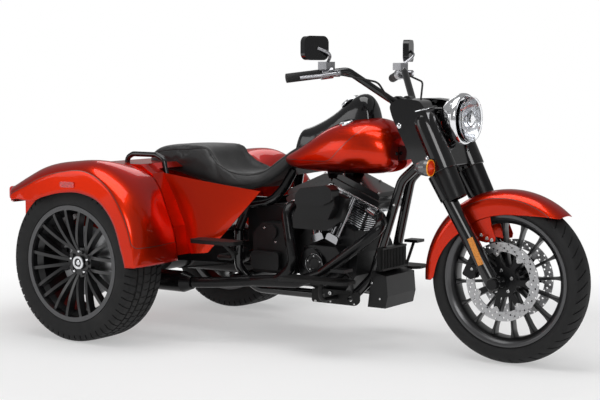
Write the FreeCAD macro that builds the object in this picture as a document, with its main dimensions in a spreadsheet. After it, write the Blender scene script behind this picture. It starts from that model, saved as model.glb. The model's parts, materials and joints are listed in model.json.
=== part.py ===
"""Three-wheeled motorcycle: one steered front wheel and two wide driven wheels under a body with a trunk.

X points to the front, Y to the rider's left and Z up. The origin is on the ground, under the middle of the
whole vehicle. All sizes are millimetres. A height is measured from the ground, a reach named "ahead" from the
rear axle forwards and one named "out" from the middle plane sideways. Every piece takes its size and its place
from the sheet's cells.
"""
import FreeCAD, Part
import math
import os
from types import SimpleNamespace

import Sketcher
from FreeCAD import Placement, Rotation, Vector

SIZES = {
    # stance
    "wheelbase": 1670, "rear_axle_back": 704, "rear_track": 1060, "trail": 99, "head_angle": 26,
    "fork_angle": 31.5,
    # common walls and clearances
    "seat_gap": 0.3, "running_gap": 0.05, "panel_gap": 6, "shell_wall": 5, "overrun": 4,
    # rear tyre and wheel
    "rear_tyre_r": 325, "rear_tyre_width": 215, "rear_lip_r": 240, "rear_bead_r": 228.6,
    "rear_well_r": 208, "rear_rim_width": 202, "rim_wall": 7, "lip_wall": 6, "rear_hub_r": 62,
    "rear_hub_out": 46, "rear_hub_in": 44, "hub_cap_r": 30, "hub_cap_height": 11, "lug_circle_r": 46,
    "lug_r": 8, "lug_height": 9, "rear_spoke_wall": 13, "spoke_pair_spacing": 52, "spoke_tip_out": 92,
    "spoke_tip_depth": 34, "spoke_root_depth": 34, "spindle_r": 15, "spindle_reach": 30,
    "rear_disc_r": 146, "rear_disc_wall": 6, "rear_disc_in": 12,
    # front tyre and wheel
    "front_tyre_r": 319, "front_tyre_width": 130, "front_lip_r": 253, "front_bead_r": 241.3,
    "front_well_r": 226, "front_rim_width": 98, "front_hub_r": 44, "front_spoke_wall": 24,
    "front_spoke_width": 13, "front_fork_spread": 34, "front_axle_r": 12.5, "front_disc_r": 150,
    "front_disc_wall": 5, "front_disc_out": 66, "disc_ring_width": 46, "carrier_r": 58,
    "carrier_arm_width": 20,
    # steering head and fork
    "head_tube_r": 34, "stem_r": 15, "lower_clamp_height": 742, "upper_clamp_height": 945,
    "clamp_wall": 32, "clamp_depth": 84, "head_play": 5.5, "leg_out": 115, "leg_tube_r": 24,
    "slider_r": 29, "slider_top_height": 640, "leg_cover_r": 34, "leg_cover_bottom_height": 625,
    "leg_cover_top_height": 715, "leg_behind_axle": 15, "slider_foot": 26, "axle_nut_r": 20,
    # nacelle, headlamp and signals
    "nacelle_out": 152, "nacelle_wall": 4, "nacelle_bottom_height": 742, "nacelle_top_height": 1006,
    "nacelle_rear_ahead": 1222, "nacelle_front_ahead": 1466, "headlamp_ahead": 1480,
    "headlamp_height": 926, "headlamp_r": 92, "bezel_r": 100, "bezel_wall": 26, "headlamp_depth": 98,
    "lens_wall": 5, "lens_bulge": 13, "signal_ahead": 1430, "signal_out": 190, "signal_height": 746,
    "signal_r": 32, "signal_length": 66, "signal_arm_r": 9,
    # handlebar and controls
    "bar_r": 14, "bar_clamp_ahead": 1200, "bar_clamp_height": 992, "bar_flat_out": 78,
    "bar_bend_ahead": 1078, "bar_bend_out": 222, "bar_bend_height": 1112, "bar_end_ahead": 920,
    "bar_end_out": 400, "bar_end_height": 1083, "bar_bend_radius": 48, "grip_r": 18, "grip_length": 132,
    "switch_r": 23, "switch_length": 46, "lever_wall": 7, "lever_reach": 58, "lever_length": 150,
    "reservoir_length": 62, "reservoir_width": 38, "reservoir_height": 30, "mirror_ahead": 1017,
    "mirror_out": 360, "mirror_height": 1197, "mirror_width": 116, "mirror_tall": 92, "mirror_wall": 26,
    "mirror_toe": 19, "stalk_r": 6, "riser_r": 17,
    # front fender and brakes
    "front_fender_r": 346, "front_fender_out": 82, "front_fender_skirt_r": 292, "front_fender_wall": 4,
    "front_fender_start": 48, "front_fender_sweep": 135, "caliper_length": 96, "caliper_depth": 46,
    "caliper_width": 56,
    # rear body
    "body_out": 695, "tub_out": 400, "tub_front_ahead": 395, "front_opening_out": 320, "plate_back": 581,
    "tub_wall": 10, "tub_rear_back": 562, "rear_corner": 80, "tub_bottom_height": 363,
    "trunk_floor_height": 436, "deck_height": 728, "lid_out": 270, "lid_front_back": 100,
    "lid_bottom_height": 470, "lid_front_gap": 14, "lid_wall": 8, "hinge_ahead": 60, "hinge_drop": 47,
    "hinge_out": 222, "hinge_pin_r": 4, "hinge_eye_r": 12, "hinge_eye_out": 7, "arm_r": 7, "arm_drop": 45,
    "bracket_wall": 5, "plate_width": 190, "plate_tall": 110, "plate_height": 408, "plate_wall": 8,
    "plate_hole_r": 3.3, "plate_hole_spacing": 146, "plate_hole_rise": 70, "tail_corner_length": 73,
    "tail_corner_width": 80, "fender_wall": 5, "arch_out": 690, "line_out": 687, "crown_out": 604,
    "tail_wall": 8, "lamp_width": 120, "lamp_tall": 56, "lamp_wall": 22, "lamp_bottom_height": 570,
    "marker_length": 76, "marker_tall": 24, "marker_wall": 5, "marker_height": 656, "marker_ahead": 4,
    "rail_out": 290, "rail_r": 11, "rail_bend_radius": 30, "grab_rear_ahead": 14, "grab_length": 216,
    "grab_rise": 34, "side_panel_wall": 4, "panel_rear_out": 326, "panel_front_top_ahead": 640,
    "panel_front_top_out": 188, "panel_front_top_height": 622, "panel_front_low_ahead": 452,
    "panel_front_low_out": 300, "panel_front_low_height": 368, "panel_bulge": 16,
    # tank, console and seat
    "tank_rear_ahead": 676, "tank_length": 522, "tank_bottom_height": 700, "tank_height": 224,
    "tank_out": 158, "tunnel_gap": 3, "backbone_out": 32, "backbone_tall": 56,
    "backbone_front_height": 812, "backbone_rear_ahead": 690, "backbone_rear_height": 708,
    "console_out": 62, "console_rear_ahead": 706, "console_length": 428, "console_top_height": 1020,
    "console_low_height": 806, "console_depth": 60, "seat_rear_back": 20, "seat_length": 786,
    "seat_out": 185, "seat_bottom_height": 600, "seat_top_height": 830,
    # engine
    "crank_ahead": 926, "crank_height": 360, "vee_half_angle": 22.5, "case_out": 108, "case_r": 128,
    "cylinder_base": 150, "barrel_r": 57, "fin_size": 150, "fin_wall": 3, "fin_pitch": 9, "vee_gap": 8,
    "cylinder_length": 84, "head_height": 36, "head_fin_size": 176, "rocker_length": 236,
    "rocker_width": 192, "rocker_height": 51, "gasket_wall": 8, "port_r": 24, "port_reach": 30,
    "port_offset": 40, "gear_cover_wall": 70, "timer_r": 46, "timer_height": 12, "timer_back": 40,
    "tappet_wall": 42, "tappet_tall": 30, "tappet_half": 28, "tappet_base": 78, "pushrod_r": 9.5,
    "primary_wall": 96, "primary_r": 118, "clutch_ahead": 672, "clutch_r": 132, "clutch_height": 372,
    "gearbox_rear_ahead": 585, "gearbox_top_height": 492, "gearbox_bottom_height": 286,
    "gearbox_right_out": 165, "battery_right_out": 88, "battery_left_out": 66, "gearbox_left_out": 74,
    "drive_pulley_ahead": 650, "gearbox_cover_wall": 26, "air_cleaner_out": 330, "air_cleaner_wall": 58,
    "air_cleaner_ahead": 902, "air_cleaner_length": 171, "air_cleaner_low": 536, "air_cleaner_tall": 137,
    "air_tier_wall": 15, "air_plate_wall": 34, "intake_r": 26, "intake_flange_out": 84,
    # exhaust
    "pipe_r": 22, "header_bend_radius": 70, "muffler_r": 44, "muffler_out": 296, "muffler_height": 238,
    "muffler_front_ahead": 372, "muffler_rear_back": 436, "tip_r": 34, "tip_length": 60,
    # frame
    "downtube_r": 19, "frame_bend_radius": 70, "pivot_ahead": 500, "pivot_height": 345, "pivot_r": 14,
    "swingarm_out": 126, "swingarm_wall": 30, "swingarm_tall": 64, "axle_tube_r": 40, "diff_r": 92,
    "diff_out": 74, "axle_flange_r": 58, "axle_flange_out": 478, "axle_flange_wall": 12, "shock_r": 27,
    "shock_out": 168, "chin_out": 112, "chin_bottom_height": 178, "chin_top_height": 320,
    "chin_depth": 92, "chin_front_ahead": 1199, "cooler_front_ahead": 1166, "cooler_out": 95,
    "cooler_wall": 30, "cooler_bottom_height": 322, "cooler_top_height": 414, "cooler_fin_wall": 3,
    # footboards and pedals
    "board_rear_ahead": 830, "board_length": 310, "board_inner_out": 232, "board_width": 108,
    "board_height": 290, "board_wall": 12, "passenger_board_rear_ahead": 446,
    "passenger_board_length": 220, "passenger_board_inner_out": 334, "passenger_board_width": 86,
    "passenger_board_height": 420, "passenger_board_wall": 16, "board_arm_r": 9,
    "bracket_rear_ahead": 868, "bracket_length": 226, "bracket_tall": 62, "bracket_hole_r": 13,
    "pedal_wall": 12, "pedal_length": 62, "belt_width": 28, "belt_wall": 6, "belt_out": 92,
    "drive_pulley_r": 52, "axle_pulley_r": 92, "hose_r": 4, "hose_bend_radius": 40, "cable_reach": 96,
    "cable_rise": 60,
}


class Size(float):
    """A number with the expression that gives it from the sheet's cells."""

    def __new__(cls, value, text=None):
        size = super().__new__(cls, value)
        size.text = text if text else "(%r)" % float(value)
        return size

    def __add__(self, other):
        return tied(self, "+", other, float(self) + float(other))

    def __radd__(self, other):
        return tied(other, "+", self, float(other) + float(self))

    def __sub__(self, other):
        return tied(self, "-", other, float(self) - float(other))

    def __rsub__(self, other):
        return tied(other, "-", self, float(other) - float(self))

    def __mul__(self, other):
        return tied(self, "*", other, float(self) * float(other))

    __rmul__ = __mul__

    def __truediv__(self, other):
        return tied(self, "/", other, float(self) / float(other))

    def __neg__(self):
        return Size(-float(self), "(-1 * %s)" % self.text)


def sized(value):
    return value if isinstance(value, Size) else Size(value)


def tied(left, sign, right, value):
    return Size(value, "(%s %s %s)" % (sized(left).text, sign, sized(right).text))


def distance(start, end):
    """Straight distance between two points, still tied to their sizes."""
    squares = ["(%s)^2" % (sized(b) - a).text for a, b in zip(start, end)]
    return Size(math.dist(start, end), "sqrt(%s)" % " + ".join(squares))


doc = FreeCAD.newDocument("MotorTrike")
sheet = doc.addObject("Spreadsheet::Sheet", "Sizes")
for row, (word, number) in enumerate(SIZES.items(), 1):
    sheet.set("A%d" % row, word)
    sheet.set("B%d" % row, repr(number))
    sheet.setAlias("B%d" % row, word)
doc.recompute()
s = SimpleNamespace(**{word: Size(sheet.get(word), "Sizes." + word) for word in SIZES})

UP = Vector(0, 0, 1)
LEFT = Vector(0, 1, 0)
AHEAD = Vector(1, 0, 0)
SIDES = (("right", -1), ("left", 1))
# Height of a quarter arc over its chord, as a share of its radius
QUARTER_SAG_SHARE = 1 - math.cos(math.pi / 4)


def put(piece, base=(0, 0, 0), turn=Rotation()):
    """Place a piece by a point measured from the rear axle, and tie that point to the sheet."""
    spot = (sized(base[0]) - s.rear_axle_back, sized(base[1]), sized(base[2]))
    piece.Placement = Placement(Vector(*spot), turn)
    for letter, value in zip("xyz", spot):
        piece.setExpression("Placement.Base." + letter, value.text)
    return piece


def slanted(start, end):
    return Rotation(UP, Vector(*end) - Vector(*start))


def moved(point, along, reach):
    """Point at a distance from another, along a direction."""
    way = Vector(along).normalize()
    return tuple(sized(value) + reach * share for value, share in zip(point, way))


def rod(word, start, end, radius):
    """Round bar between the centres of its two ends."""
    piece = doc.addObject("Part::Cylinder", word)
    piece.setExpression("Radius", radius.text)
    piece.setExpression("Height", distance(start, end).text)
    return put(piece, start, slanted(start, end))


def taper(word, start, end, start_r, end_r):
    """Cone between the centres of its two ends."""
    piece = doc.addObject("Part::Cone", word)
    piece.setExpression("Radius1", start_r.text)
    piece.setExpression("Radius2", end_r.text)
    piece.setExpression("Height", distance(start, end).text)
    return put(piece, start, slanted(start, end))


def block(word, low, high, turn=Rotation()):
    """Box between its lowest and highest corners, turned about the lowest one."""
    piece = doc.addObject("Part::Box", word)
    for edge, a, b in zip(("Length", "Width", "Height"), low, high):
        piece.setExpression(edge, (sized(b) - a).text)
    return put(piece, low, turn)


def fused(word, pieces, refine=True):
    piece = doc.addObject("Part::MultiFuse", word)
    piece.Shapes = pieces
    piece.Refine = refine
    return piece


def cut(word, base, tool, refine=True):
    piece = doc.addObject("Part::Cut", word)
    piece.Base = base
    piece.Tool = tool
    piece.Refine = refine
    return piece


def trimmed(word, base, tools):
    """Piece cut back by each of its neighbours in turn."""
    for i, tool in enumerate(tools[:-1]):
        base = cut("%s_trim_%d" % (word, i), base, tool, False)
    return cut(word, base, tools[-1], False)


def grouped(word, pieces):
    piece = doc.addObject("Part::Compound", word)
    piece.Links = pieces
    return piece


def mirrored(word, source):
    """Copy on the other side of the middle plane."""
    piece = doc.addObject("Part::Mirroring", word)
    piece.Source = source
    piece.Normal = LEFT
    return piece


def pair(word, source):
    """The same piece on both sides, as one node."""
    return grouped(word, [source, mirrored(word + "_other", source)])


def shaped(word, shape):
    """A form that only lofts and sweeps give, set in its place after it is made."""
    piece = doc.addObject("Part::Feature", word)
    piece.Shape = shape
    return put(piece)


def ring(u, v, radius):
    return ("ring", sized(u), sized(v), radius)


def corners(points, cut_back):
    """Closed outline whose corners are rounded, each from cut_back before it to cut_back after it."""
    outline = []
    count = len(points)
    for i, corner in enumerate(points):
        here = Vector(*corner, 0)
        before = (Vector(*points[i - 1], 0) - here).normalize()
        after = (Vector(*points[(i + 1) % count], 0) - here).normalize()
        half = before.getAngle(after) / 2
        # tangent arc: its radius over cut_back is tan(half), its sagitta is radius times (1 - sin(half))
        sag_share = math.tan(half) * (1 - math.sin(half))
        side = 1 if before.cross(after).z > 0 else -1
        outline.append((corner[0] + cut_back * before.x, corner[1] + cut_back * before.y,
                        cut_back * (sag_share * side)))
        outline.append((corner[0] + cut_back * after.x, corner[1] + cut_back * after.y))
    return outline


def round_end(u, v, radius, way):
    """Half circle that ends an outline running clockwise, as two quarter arcs; way is 1 for its front end."""
    sag = radius * QUARTER_SAG_SHARE
    return [(u, v + radius * way, sag), (u + radius * way, v, sag), (u, v - radius * way)]


def rectangle(low_u, low_v, high_u, high_v):
    return [(low_u, low_v), (high_u, low_v), (high_u, high_v), (low_u, high_v)]


def bow(start, end, sag):
    """Circle arc over a chord; a positive sag bows it to the left of the way from start to end."""
    a, b = Vector(start[0], start[1], 0), Vector(end[0], end[1], 0)
    chord = b - a
    half = chord.Length / 2
    radius = (half ** 2 + sag ** 2) / (2 * abs(sag))
    left = Vector(-chord.y, chord.x, 0).normalize()
    middle = (a + b) / 2
    centre = middle + left * (math.copysign(1, sag) * (abs(sag) - radius))
    angle = {}
    for key, spot in (("a", a), ("b", b)):
        angle[key] = math.atan2(spot.y - centre.y, spot.x - centre.x)
    first, last = ("b", "a") if sag > 0 else ("a", "b")
    if angle[last] < angle[first]:
        angle[last] += 2 * math.pi
    return Part.ArcOfCircle(Part.Circle(centre, UP, radius), angle[first], angle[last])


def tie(sketch, kind, value, *where):
    number = sketch.addConstraint(Sketcher.Constraint(kind, *where, float(value)))
    if "Sizes" in sized(value).text:
        sketch.setExpression("Constraints[%d]" % number, sized(value).text)


def draw(body, plane, loops, word, lift=Placement()):
    """Sketch of closed outlines on one of the body's own planes, every point tied to the sheet.

    A point is (u, v), or (u, v, sag) where an arc goes from it to the next point.
    """
    sketch = body.newObject("Sketcher::SketchObject", word)
    face = next(item for item in body.Origin.OriginFeatures if item.Role == plane)
    sketch.AttachmentSupport = (face, [""])
    sketch.MapMode = "FlatFace"
    sketch.AttachmentOffset = lift
    for loop in loops:
        if loop[0] == "ring":
            _, u, v, radius = loop
            edge = sketch.addGeometry(Part.Circle(Vector(u, v, 0), UP, float(radius)), False)
            tie(sketch, "DistanceX", u, -1, 1, edge, 3)
            tie(sketch, "DistanceY", v, -1, 1, edge, 3)
            tie(sketch, "Radius", radius, edge)
            continue
        count = len(loop)
        edges = []
        heads = []
        for i, point in enumerate(loop):
            nxt = loop[(i + 1) % count]
            sag = point[2] if len(point) > 2 else 0
            if sag:
                edges.append(bow(point, nxt, float(sag)))
            else:
                edges.append(Part.LineSegment(Vector(*point[:2], 0), Vector(*nxt[:2], 0)))
            # an arc is kept anticlockwise, so one that bows left has its start at the far end
            heads.append(2 if sag > 0 else 1)
        first = sketch.addGeometry(edges, False)[0]
        sketch.addConstraint([Sketcher.Constraint("Coincident", first + i, 3 - heads[i],
                                                  first + (i + 1) % count, heads[(i + 1) % count])
                              for i in range(count)])
        for i, point in enumerate(loop):
            tie(sketch, "DistanceX", point[0], -1, 1, first + i, heads[i])
            tie(sketch, "DistanceY", point[1], -1, 1, first + i, heads[i])
            if len(point) > 2 and point[2]:
                nxt = loop[(i + 1) % count]
                half = distance(point[:2], nxt[:2]) / 2
                sag = point[2] if float(point[2]) > 0 else -point[2]
                tie(sketch, "Radius", (half * half + sag * sag) / (sag * 2), first + i)
    return sketch


def new_body(word):
    return doc.addObject("PartDesign::Body", word)


def padded(body, sketch, wall, word):
    """Sketch raised by half the wall to each side of its plane."""
    feature = body.newObject("PartDesign::Pad", word)
    feature.Profile = sketch
    feature.SideType = "Symmetric"
    feature.setExpression("Length", wall.text)
    return feature


def slab(word, plane, loops, low, high, base=(0, 0, 0), turn=Rotation()):
    """Flat piece of an outline on the plane XZ, XY or YZ, from low to high across that plane."""
    body = new_body(word)
    wall = sized(high) - low
    padded(body, draw(body, plane + "_Plane", loops, word + "_outline"), wall, word + "_wall")
    spot = [sized(value) for value in base]
    across = {"XZ": 1, "XY": 2, "YZ": 0}[plane]
    spot[across] = spot[across] + (sized(low) + high) / 2
    return put(body, spot, turn)


def turned(word, loops, base, axis):
    """Outline of (radius, height) points turned about the axis that leaves base."""
    body = new_body(word)
    feature = body.newObject("PartDesign::Revolution", word + "_turning")
    sketch = draw(body, "XZ_Plane", loops, word + "_outline")
    feature.Profile = sketch
    feature.ReferenceAxis = (sketch, ["V_Axis"])
    feature.Angle = 360
    return put(body, base, Rotation(UP, axis))


def around(body, feature, count, word):
    """Copies of a feature, evenly round the body's own Z axis."""
    pattern = body.newObject("PartDesign::PolarPattern", word)
    pattern.Originals = feature if isinstance(feature, list) else [feature]
    pattern.Axis = (next(item for item in body.Origin.OriginFeatures if item.Role == "Z_Axis"), [""])
    pattern.Angle = 360
    pattern.Occurrences = count
    body.Tip = pattern
    return pattern


def bent_path(points, bend):
    """Straight runs joined by arcs of one bend radius, less where a run is short."""
    spots = [Vector(*point) for point in points]
    edges = []
    start = spots[0]
    for before, corner, after in zip(spots, spots[1:], spots[2:]):
        back = (before - corner).normalize()
        on = (after - corner).normalize()
        half = back.getAngle(on) / 2
        room = min((before - corner).Length, (after - corner).Length) * RUN_SHARE
        reach = min(float(bend) / math.tan(half), room)
        radius = reach * math.tan(half)
        middle = (back + on).normalize() * (radius / math.sin(half) - radius)
        first, last = corner + back * reach, corner + on * reach
        edges.append(Part.LineSegment(start, first).toShape())
        edges.append(Part.Arc(first, corner + middle, last).toShape())
        start = last
    edges.append(Part.LineSegment(start, spots[-1]).toShape())
    return Part.Wire(edges)


# Part of a run that the arcs at its two ends may use
RUN_SHARE = 0.45


def swept(points, bend, radius):
    """Round bar along a bent path."""
    path = bent_path(points, bend)
    start, way = Vector(*points[0]), Vector(*points[1]) - Vector(*points[0])
    section = Part.Wire([Part.makeCircle(float(radius), start, way)])
    return path.makePipeShell([section], True, False)


def closed_curve(points):
    curve = Part.BSplineCurve()
    curve.interpolate([Vector(*point) for point in points], PeriodicFlag=True)
    return Part.Wire([curve.toShape()])


def polygon(points):
    spots = [Vector(*point) for point in points]
    return Part.makePolygon(spots + spots[:1])

# Half section of each tyre, from the rim's lip outwards: (share of the height over the lip, share of half width)
REAR_TYRE_SHARES = ((0.04, 0.95), (0.42, 1.0), (0.86, 0.95), (1.0, 0.80))
FRONT_TYRE_SHARES = ((0.05, 0.84), (0.36, 1.0), (0.70, 0.86), (0.92, 0.50), (1.0, 0.14))
# Place of the bead seat's inner end and of the well, as shares of the rim's half width
BEAD_END_SHARE = 0.66
WELL_END_SHARE = 0.50
REAR_SPOKE_PAIRS = 5
FRONT_SPOKES = 16
FRONT_CARRIER_ARMS = 5
# Angle of a V spoke from its pair's middle, as a share of the angle between two spokes
V_SPOKE_SHARE = 0.5
# The cast spoke's arc sags by this share of its radial length as it dips to the hub
SPOKE_DIP_SHARE = 0.07


def rear_wheel_centre(side):
    return (0, s.rear_track / 2 * side, s.rear_tyre_r)


def outwards(side):
    return Vector(0, side, 0)


def tyre_outline(tread_r, lip_r, bead_r, width, rim_width, shares):
    """Solid ring from the bead seat to the tread, clear of the rim's lips."""
    bead_out = rim_width / 2 - s.lip_wall - s.seat_gap
    rise = tread_r - lip_r - s.seat_gap
    half = [(bead_r, bead_out), (lip_r + s.seat_gap, bead_out)]
    half += [(lip_r + s.seat_gap + rise * up, width / 2 * out) for up, out in shares]
    return half + [(r, -h) for r, h in reversed(half)]


def barrel_outline(lip_r, bead_r, well_r, width):
    """Rolled rim: two lips, two bead seats and the well between them, with an even wall."""
    half = width / 2
    seat = bead_r - s.seat_gap
    outer = [(lip_r, half), (lip_r, half - s.lip_wall), (seat, half - s.lip_wall),
             (seat, half * BEAD_END_SHARE), (well_r, half * WELL_END_SHARE)]
    inner = [(well_r - s.rim_wall, half * WELL_END_SHARE), (seat - s.rim_wall, half * BEAD_END_SHARE),
             (seat - s.rim_wall, half)]
    return (outer + [(r, -h) for r, h in reversed(outer)]
            + [(r, -h) for r, h in reversed(inner)] + inner)


def revolve_in(body, loops, word):
    """Turn an outline of (radius, height) about the body's own Z axis, as one more feature of it."""
    sketch = draw(body, "XZ_Plane", loops, word + "_outline")
    feature = body.newObject("PartDesign::Revolution", word)
    feature.Profile = sketch
    feature.ReferenceAxis = (sketch, ["V_Axis"])
    feature.Angle = 360
    return feature


def rear_tyre(word, side):
    outline = tyre_outline(s.rear_tyre_r, s.rear_lip_r, s.rear_bead_r, s.rear_tyre_width,
                           s.rear_rim_width, REAR_TYRE_SHARES)
    return turned("rear_tyre_" + word, [outline], rear_wheel_centre(side), outwards(side))


def rear_wheel(word, side):
    """Cast wheel: hub, barrel and twenty dished spokes, as U pairs at the studs and V pairs between them."""
    name = "rear_wheel_" + word
    body = new_body(name)
    bore = s.spindle_r + s.running_gap
    bore_end = s.spindle_reach + s.head_play
    cap_top = s.rear_hub_out + s.hub_cap_height
    hub = [(bore, -s.rear_hub_in), (s.rear_hub_r, -s.rear_hub_in), (s.rear_hub_r, s.rear_hub_out),
           (s.hub_cap_r, s.rear_hub_out), (s.hub_cap_r, cap_top), (0, cap_top), (0, bore_end), (bore, bore_end)]
    revolve_in(body, [hub], name + "_hub")
    revolve_in(body, [barrel_outline(s.rear_lip_r, s.rear_bead_r, s.rear_well_r, s.rear_rim_width)],
               name + "_barrel")
    rim_inside = s.rear_bead_r - s.seat_gap - s.rim_wall / 2
    root = s.rear_hub_r - s.rear_spoke_wall
    dip = (rim_inside - root) * SPOKE_DIP_SHARE
    spoke = [(root, s.rear_hub_out - s.spoke_root_depth), (root, s.rear_hub_out, dip),
             (rim_inside, s.spoke_tip_out), (rim_inside, s.spoke_tip_out - s.spoke_tip_depth, -dip)]
    step = 360 / REAR_SPOKE_PAIRS
    turn = step / 4 * V_SPOKE_SHARE
    lifts = [Placement(Vector(0, 0, s.spoke_pair_spacing / 2), Rotation()),
             Placement(Vector(0, 0, -s.spoke_pair_spacing / 2), Rotation()),
             Placement(Vector(), Rotation(LEFT, step / 2 + turn)),
             Placement(Vector(), Rotation(LEFT, step / 2 - turn))]
    for i, lift in enumerate(lifts):
        arm = "%s_spoke_%d" % (name, i)
        sketch = draw(body, "XZ_Plane", [spoke], arm + "_outline", lift)
        around(body, padded(body, sketch, s.rear_spoke_wall, arm), REAR_SPOKE_PAIRS, arm + "s")
    stud = draw(body, "XY_Plane", [ring(s.lug_circle_r, 0, s.lug_r)], name + "_lug_outline",
                Placement(Vector(0, 0, s.rear_hub_out), Rotation()))
    around(body, padded(body, stud, s.lug_height * 2, name + "_lug"), REAR_SPOKE_PAIRS, name + "_lugs")
    return put(body, rear_wheel_centre(side), Rotation(UP, outwards(side)))


def rear_disc(word, side):
    """Brake disc pressed over the hub, inside the barrel."""
    low = -s.rear_disc_in - s.rear_disc_wall / 2
    high = low + s.rear_disc_wall
    outline = [(s.rear_hub_r + s.seat_gap, low), (s.rear_disc_r, low), (s.rear_disc_r, high),
               (s.rear_hub_r + s.seat_gap, high)]
    return turned("rear_disc_" + word, [outline], rear_wheel_centre(side), outwards(side))


def front_centre():
    return (s.wheelbase, 0, s.front_tyre_r)


def front_tyre():
    outline = tyre_outline(s.front_tyre_r, s.front_lip_r, s.front_bead_r, s.front_tyre_width,
                           s.front_rim_width, FRONT_TYRE_SHARES)
    return turned("front_tyre", [outline], front_centre(), LEFT)


def front_wheel():
    """Cast wheel with straight spokes that fork where they meet the rim."""
    body = new_body("front_wheel")
    bore = s.front_axle_r + s.running_gap
    half = s.front_disc_out - s.front_disc_wall / 2 - s.seat_gap
    waist = s.front_hub_r - s.rim_wall
    hub = [(bore, -half), (s.front_hub_r, -half), (s.front_hub_r, -s.front_spoke_wall),
           (waist, -s.front_spoke_wall / 2), (waist, s.front_spoke_wall / 2),
           (s.front_hub_r, s.front_spoke_wall), (s.front_hub_r, half), (bore, half)]
    revolve_in(body, [hub], "front_wheel_hub")
    revolve_in(body, [barrel_outline(s.front_lip_r, s.front_bead_r, s.front_well_r, s.front_rim_width)],
               "front_wheel_barrel")
    rim = s.front_well_r - s.rim_wall / 2
    crotch = rim - s.front_fork_spread
    split = crotch - s.front_spoke_width
    w = s.front_spoke_width / 2
    spread = s.front_fork_spread / 2
    spoke = [(waist - s.overrun, -w), (split, -w), (rim, -spread - w), (rim, -spread + w / 2), (crotch, 0),
             (rim, spread - w / 2), (rim, spread + w), (split, w), (waist - s.overrun, w)]
    sketch = draw(body, "XY_Plane", [spoke], "front_spoke_outline")
    around(body, padded(body, sketch, s.front_spoke_wall, "front_spoke"), FRONT_SPOKES, "front_spokes")
    return put(body, front_centre(), Rotation(UP, LEFT))


def front_disc(side, word):
    """Floating disc: swept ring, five arms and a carrier on the hub's end."""
    body = new_body(word)
    centre = s.front_disc_out
    low, high = centre - s.front_disc_wall / 2, centre + s.front_disc_wall / 2
    inner = s.front_disc_r - s.disc_ring_width
    swept_ring = [(inner, low), (s.front_disc_r, low), (s.front_disc_r, high), (inner, high)]
    bore = s.front_hub_r - s.carrier_arm_width
    carrier = [(bore, low), (s.carrier_r, low), (s.carrier_r, high), (bore, high)]
    revolve_in(body, [carrier], word + "_carrier")
    revolve_in(body, [swept_ring], word + "_ring")
    arm = rectangle(s.carrier_r - s.overrun, -s.carrier_arm_width / 2, inner + s.overrun,
                    s.carrier_arm_width / 2)
    sketch = draw(body, "XY_Plane", [arm], word + "_arm_outline",
                  Placement(Vector(0, 0, centre), Rotation()))
    around(body, padded(body, sketch, s.front_disc_wall, word + "_arm"), FRONT_CARRIER_ARMS, word + "_arms")
    return put(body, front_centre(), Rotation(UP, outwards(side)))


def front_discs():
    return grouped("front_discs", [front_disc(side, "front_disc_" + word) for word, side in SIDES])


def front_axle():
    """Axle with a head and a nut outside the fork legs and a spacer each side of the hub."""
    x, _, z = front_centre()
    boss = s.leg_out + s.slider_r + s.seat_gap
    end = boss + s.clamp_wall / 2
    pieces = [rod("front_axle_bar", (x, -end, z), (x, end, z), s.front_axle_r)]
    for word, side in SIDES:
        pieces.append(rod("front_axle_nut_" + word, (x, boss * side, z), (x, end * side, z), s.axle_nut_r))
        start = s.front_disc_out + s.front_disc_wall
        stop = s.leg_out - s.slider_r - s.seat_gap
        pieces.append(rod("front_spacer_" + word, (x, start * side, z), (x, stop * side, z),
                          s.front_axle_r + s.shell_wall))
    return fused("front_axle", pieces)


def steering_point(height):
    """Point of the steering axis at a height; the axis meets the ground one trail ahead of the axle."""
    return (s.wheelbase + s.trail - height * math.tan(math.radians(s.head_angle)), 0, height)


def steering_way():
    angle = math.radians(s.head_angle)
    return Vector(-math.sin(angle), 0, math.cos(angle))


def leg_point(height, out=0):
    slope = math.tan(math.radians(s.fork_angle))
    foot = s.wheelbase - s.leg_behind_axle
    return (foot - (height - s.front_tyre_r) * slope, out, height)


def clamp_faces(height):
    """Middles of the lower and the upper face of a fork clamp."""
    middle = steering_point(height)
    way = steering_way()
    return moved(middle, way, -s.clamp_wall / 2), moved(middle, way, s.clamp_wall / 2)


def clamp(word, height):
    """Plate square to the steering axis, wide enough for both legs, with a clear hole for each."""
    body = new_body(word + "_plate")
    reach = s.nacelle_out - s.nacelle_wall - s.seat_gap
    behind = (sized(steering_point(height)[0]) - leg_point(height)[0]) + s.leg_tube_r + s.shell_wall
    outline = corners(rectangle(-behind, -reach, s.clamp_depth / 2, reach), s.leg_tube_r)
    padded(body, draw(body, "XY_Plane", [outline], word + "_outline"), s.clamp_wall, word + "_wall")
    put(body, steering_point(height), Rotation(UP, steering_way()))
    holes = [rod("%s_hole_%s" % (word, name), leg_point(height - s.clamp_depth, s.leg_out * side),
                 leg_point(height + s.clamp_depth, s.leg_out * side), s.leg_tube_r + s.seat_gap)
             for name, side in SIDES]
    return cut(word, body, fused(word + "_holes", holes))


def fork_clamps():
    """Lower and upper clamp joined by the steering stem."""
    low = clamp_faces(s.lower_clamp_height)[0]
    high = clamp_faces(s.upper_clamp_height)[1]
    stem = rod("steering_stem", low, high, s.stem_r)
    return fused("fork_clamps", [clamp("lower_clamp", s.lower_clamp_height),
                                 clamp("upper_clamp",
                                       s.upper_clamp_height), stem, headlamp_stay("headlamp_stay")])


def headlamp_stay(word):
    """Stay from the front of the upper clamp to the back of the headlamp."""
    height = s.upper_clamp_height + s.riser_r
    ahead = sized(steering_point(s.upper_clamp_height)[0])
    return rod(word, (ahead + s.riser_r, 0, height),
               (s.headlamp_ahead - s.headlamp_depth + s.riser_r, 0, height), s.signal_arm_r)


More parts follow.
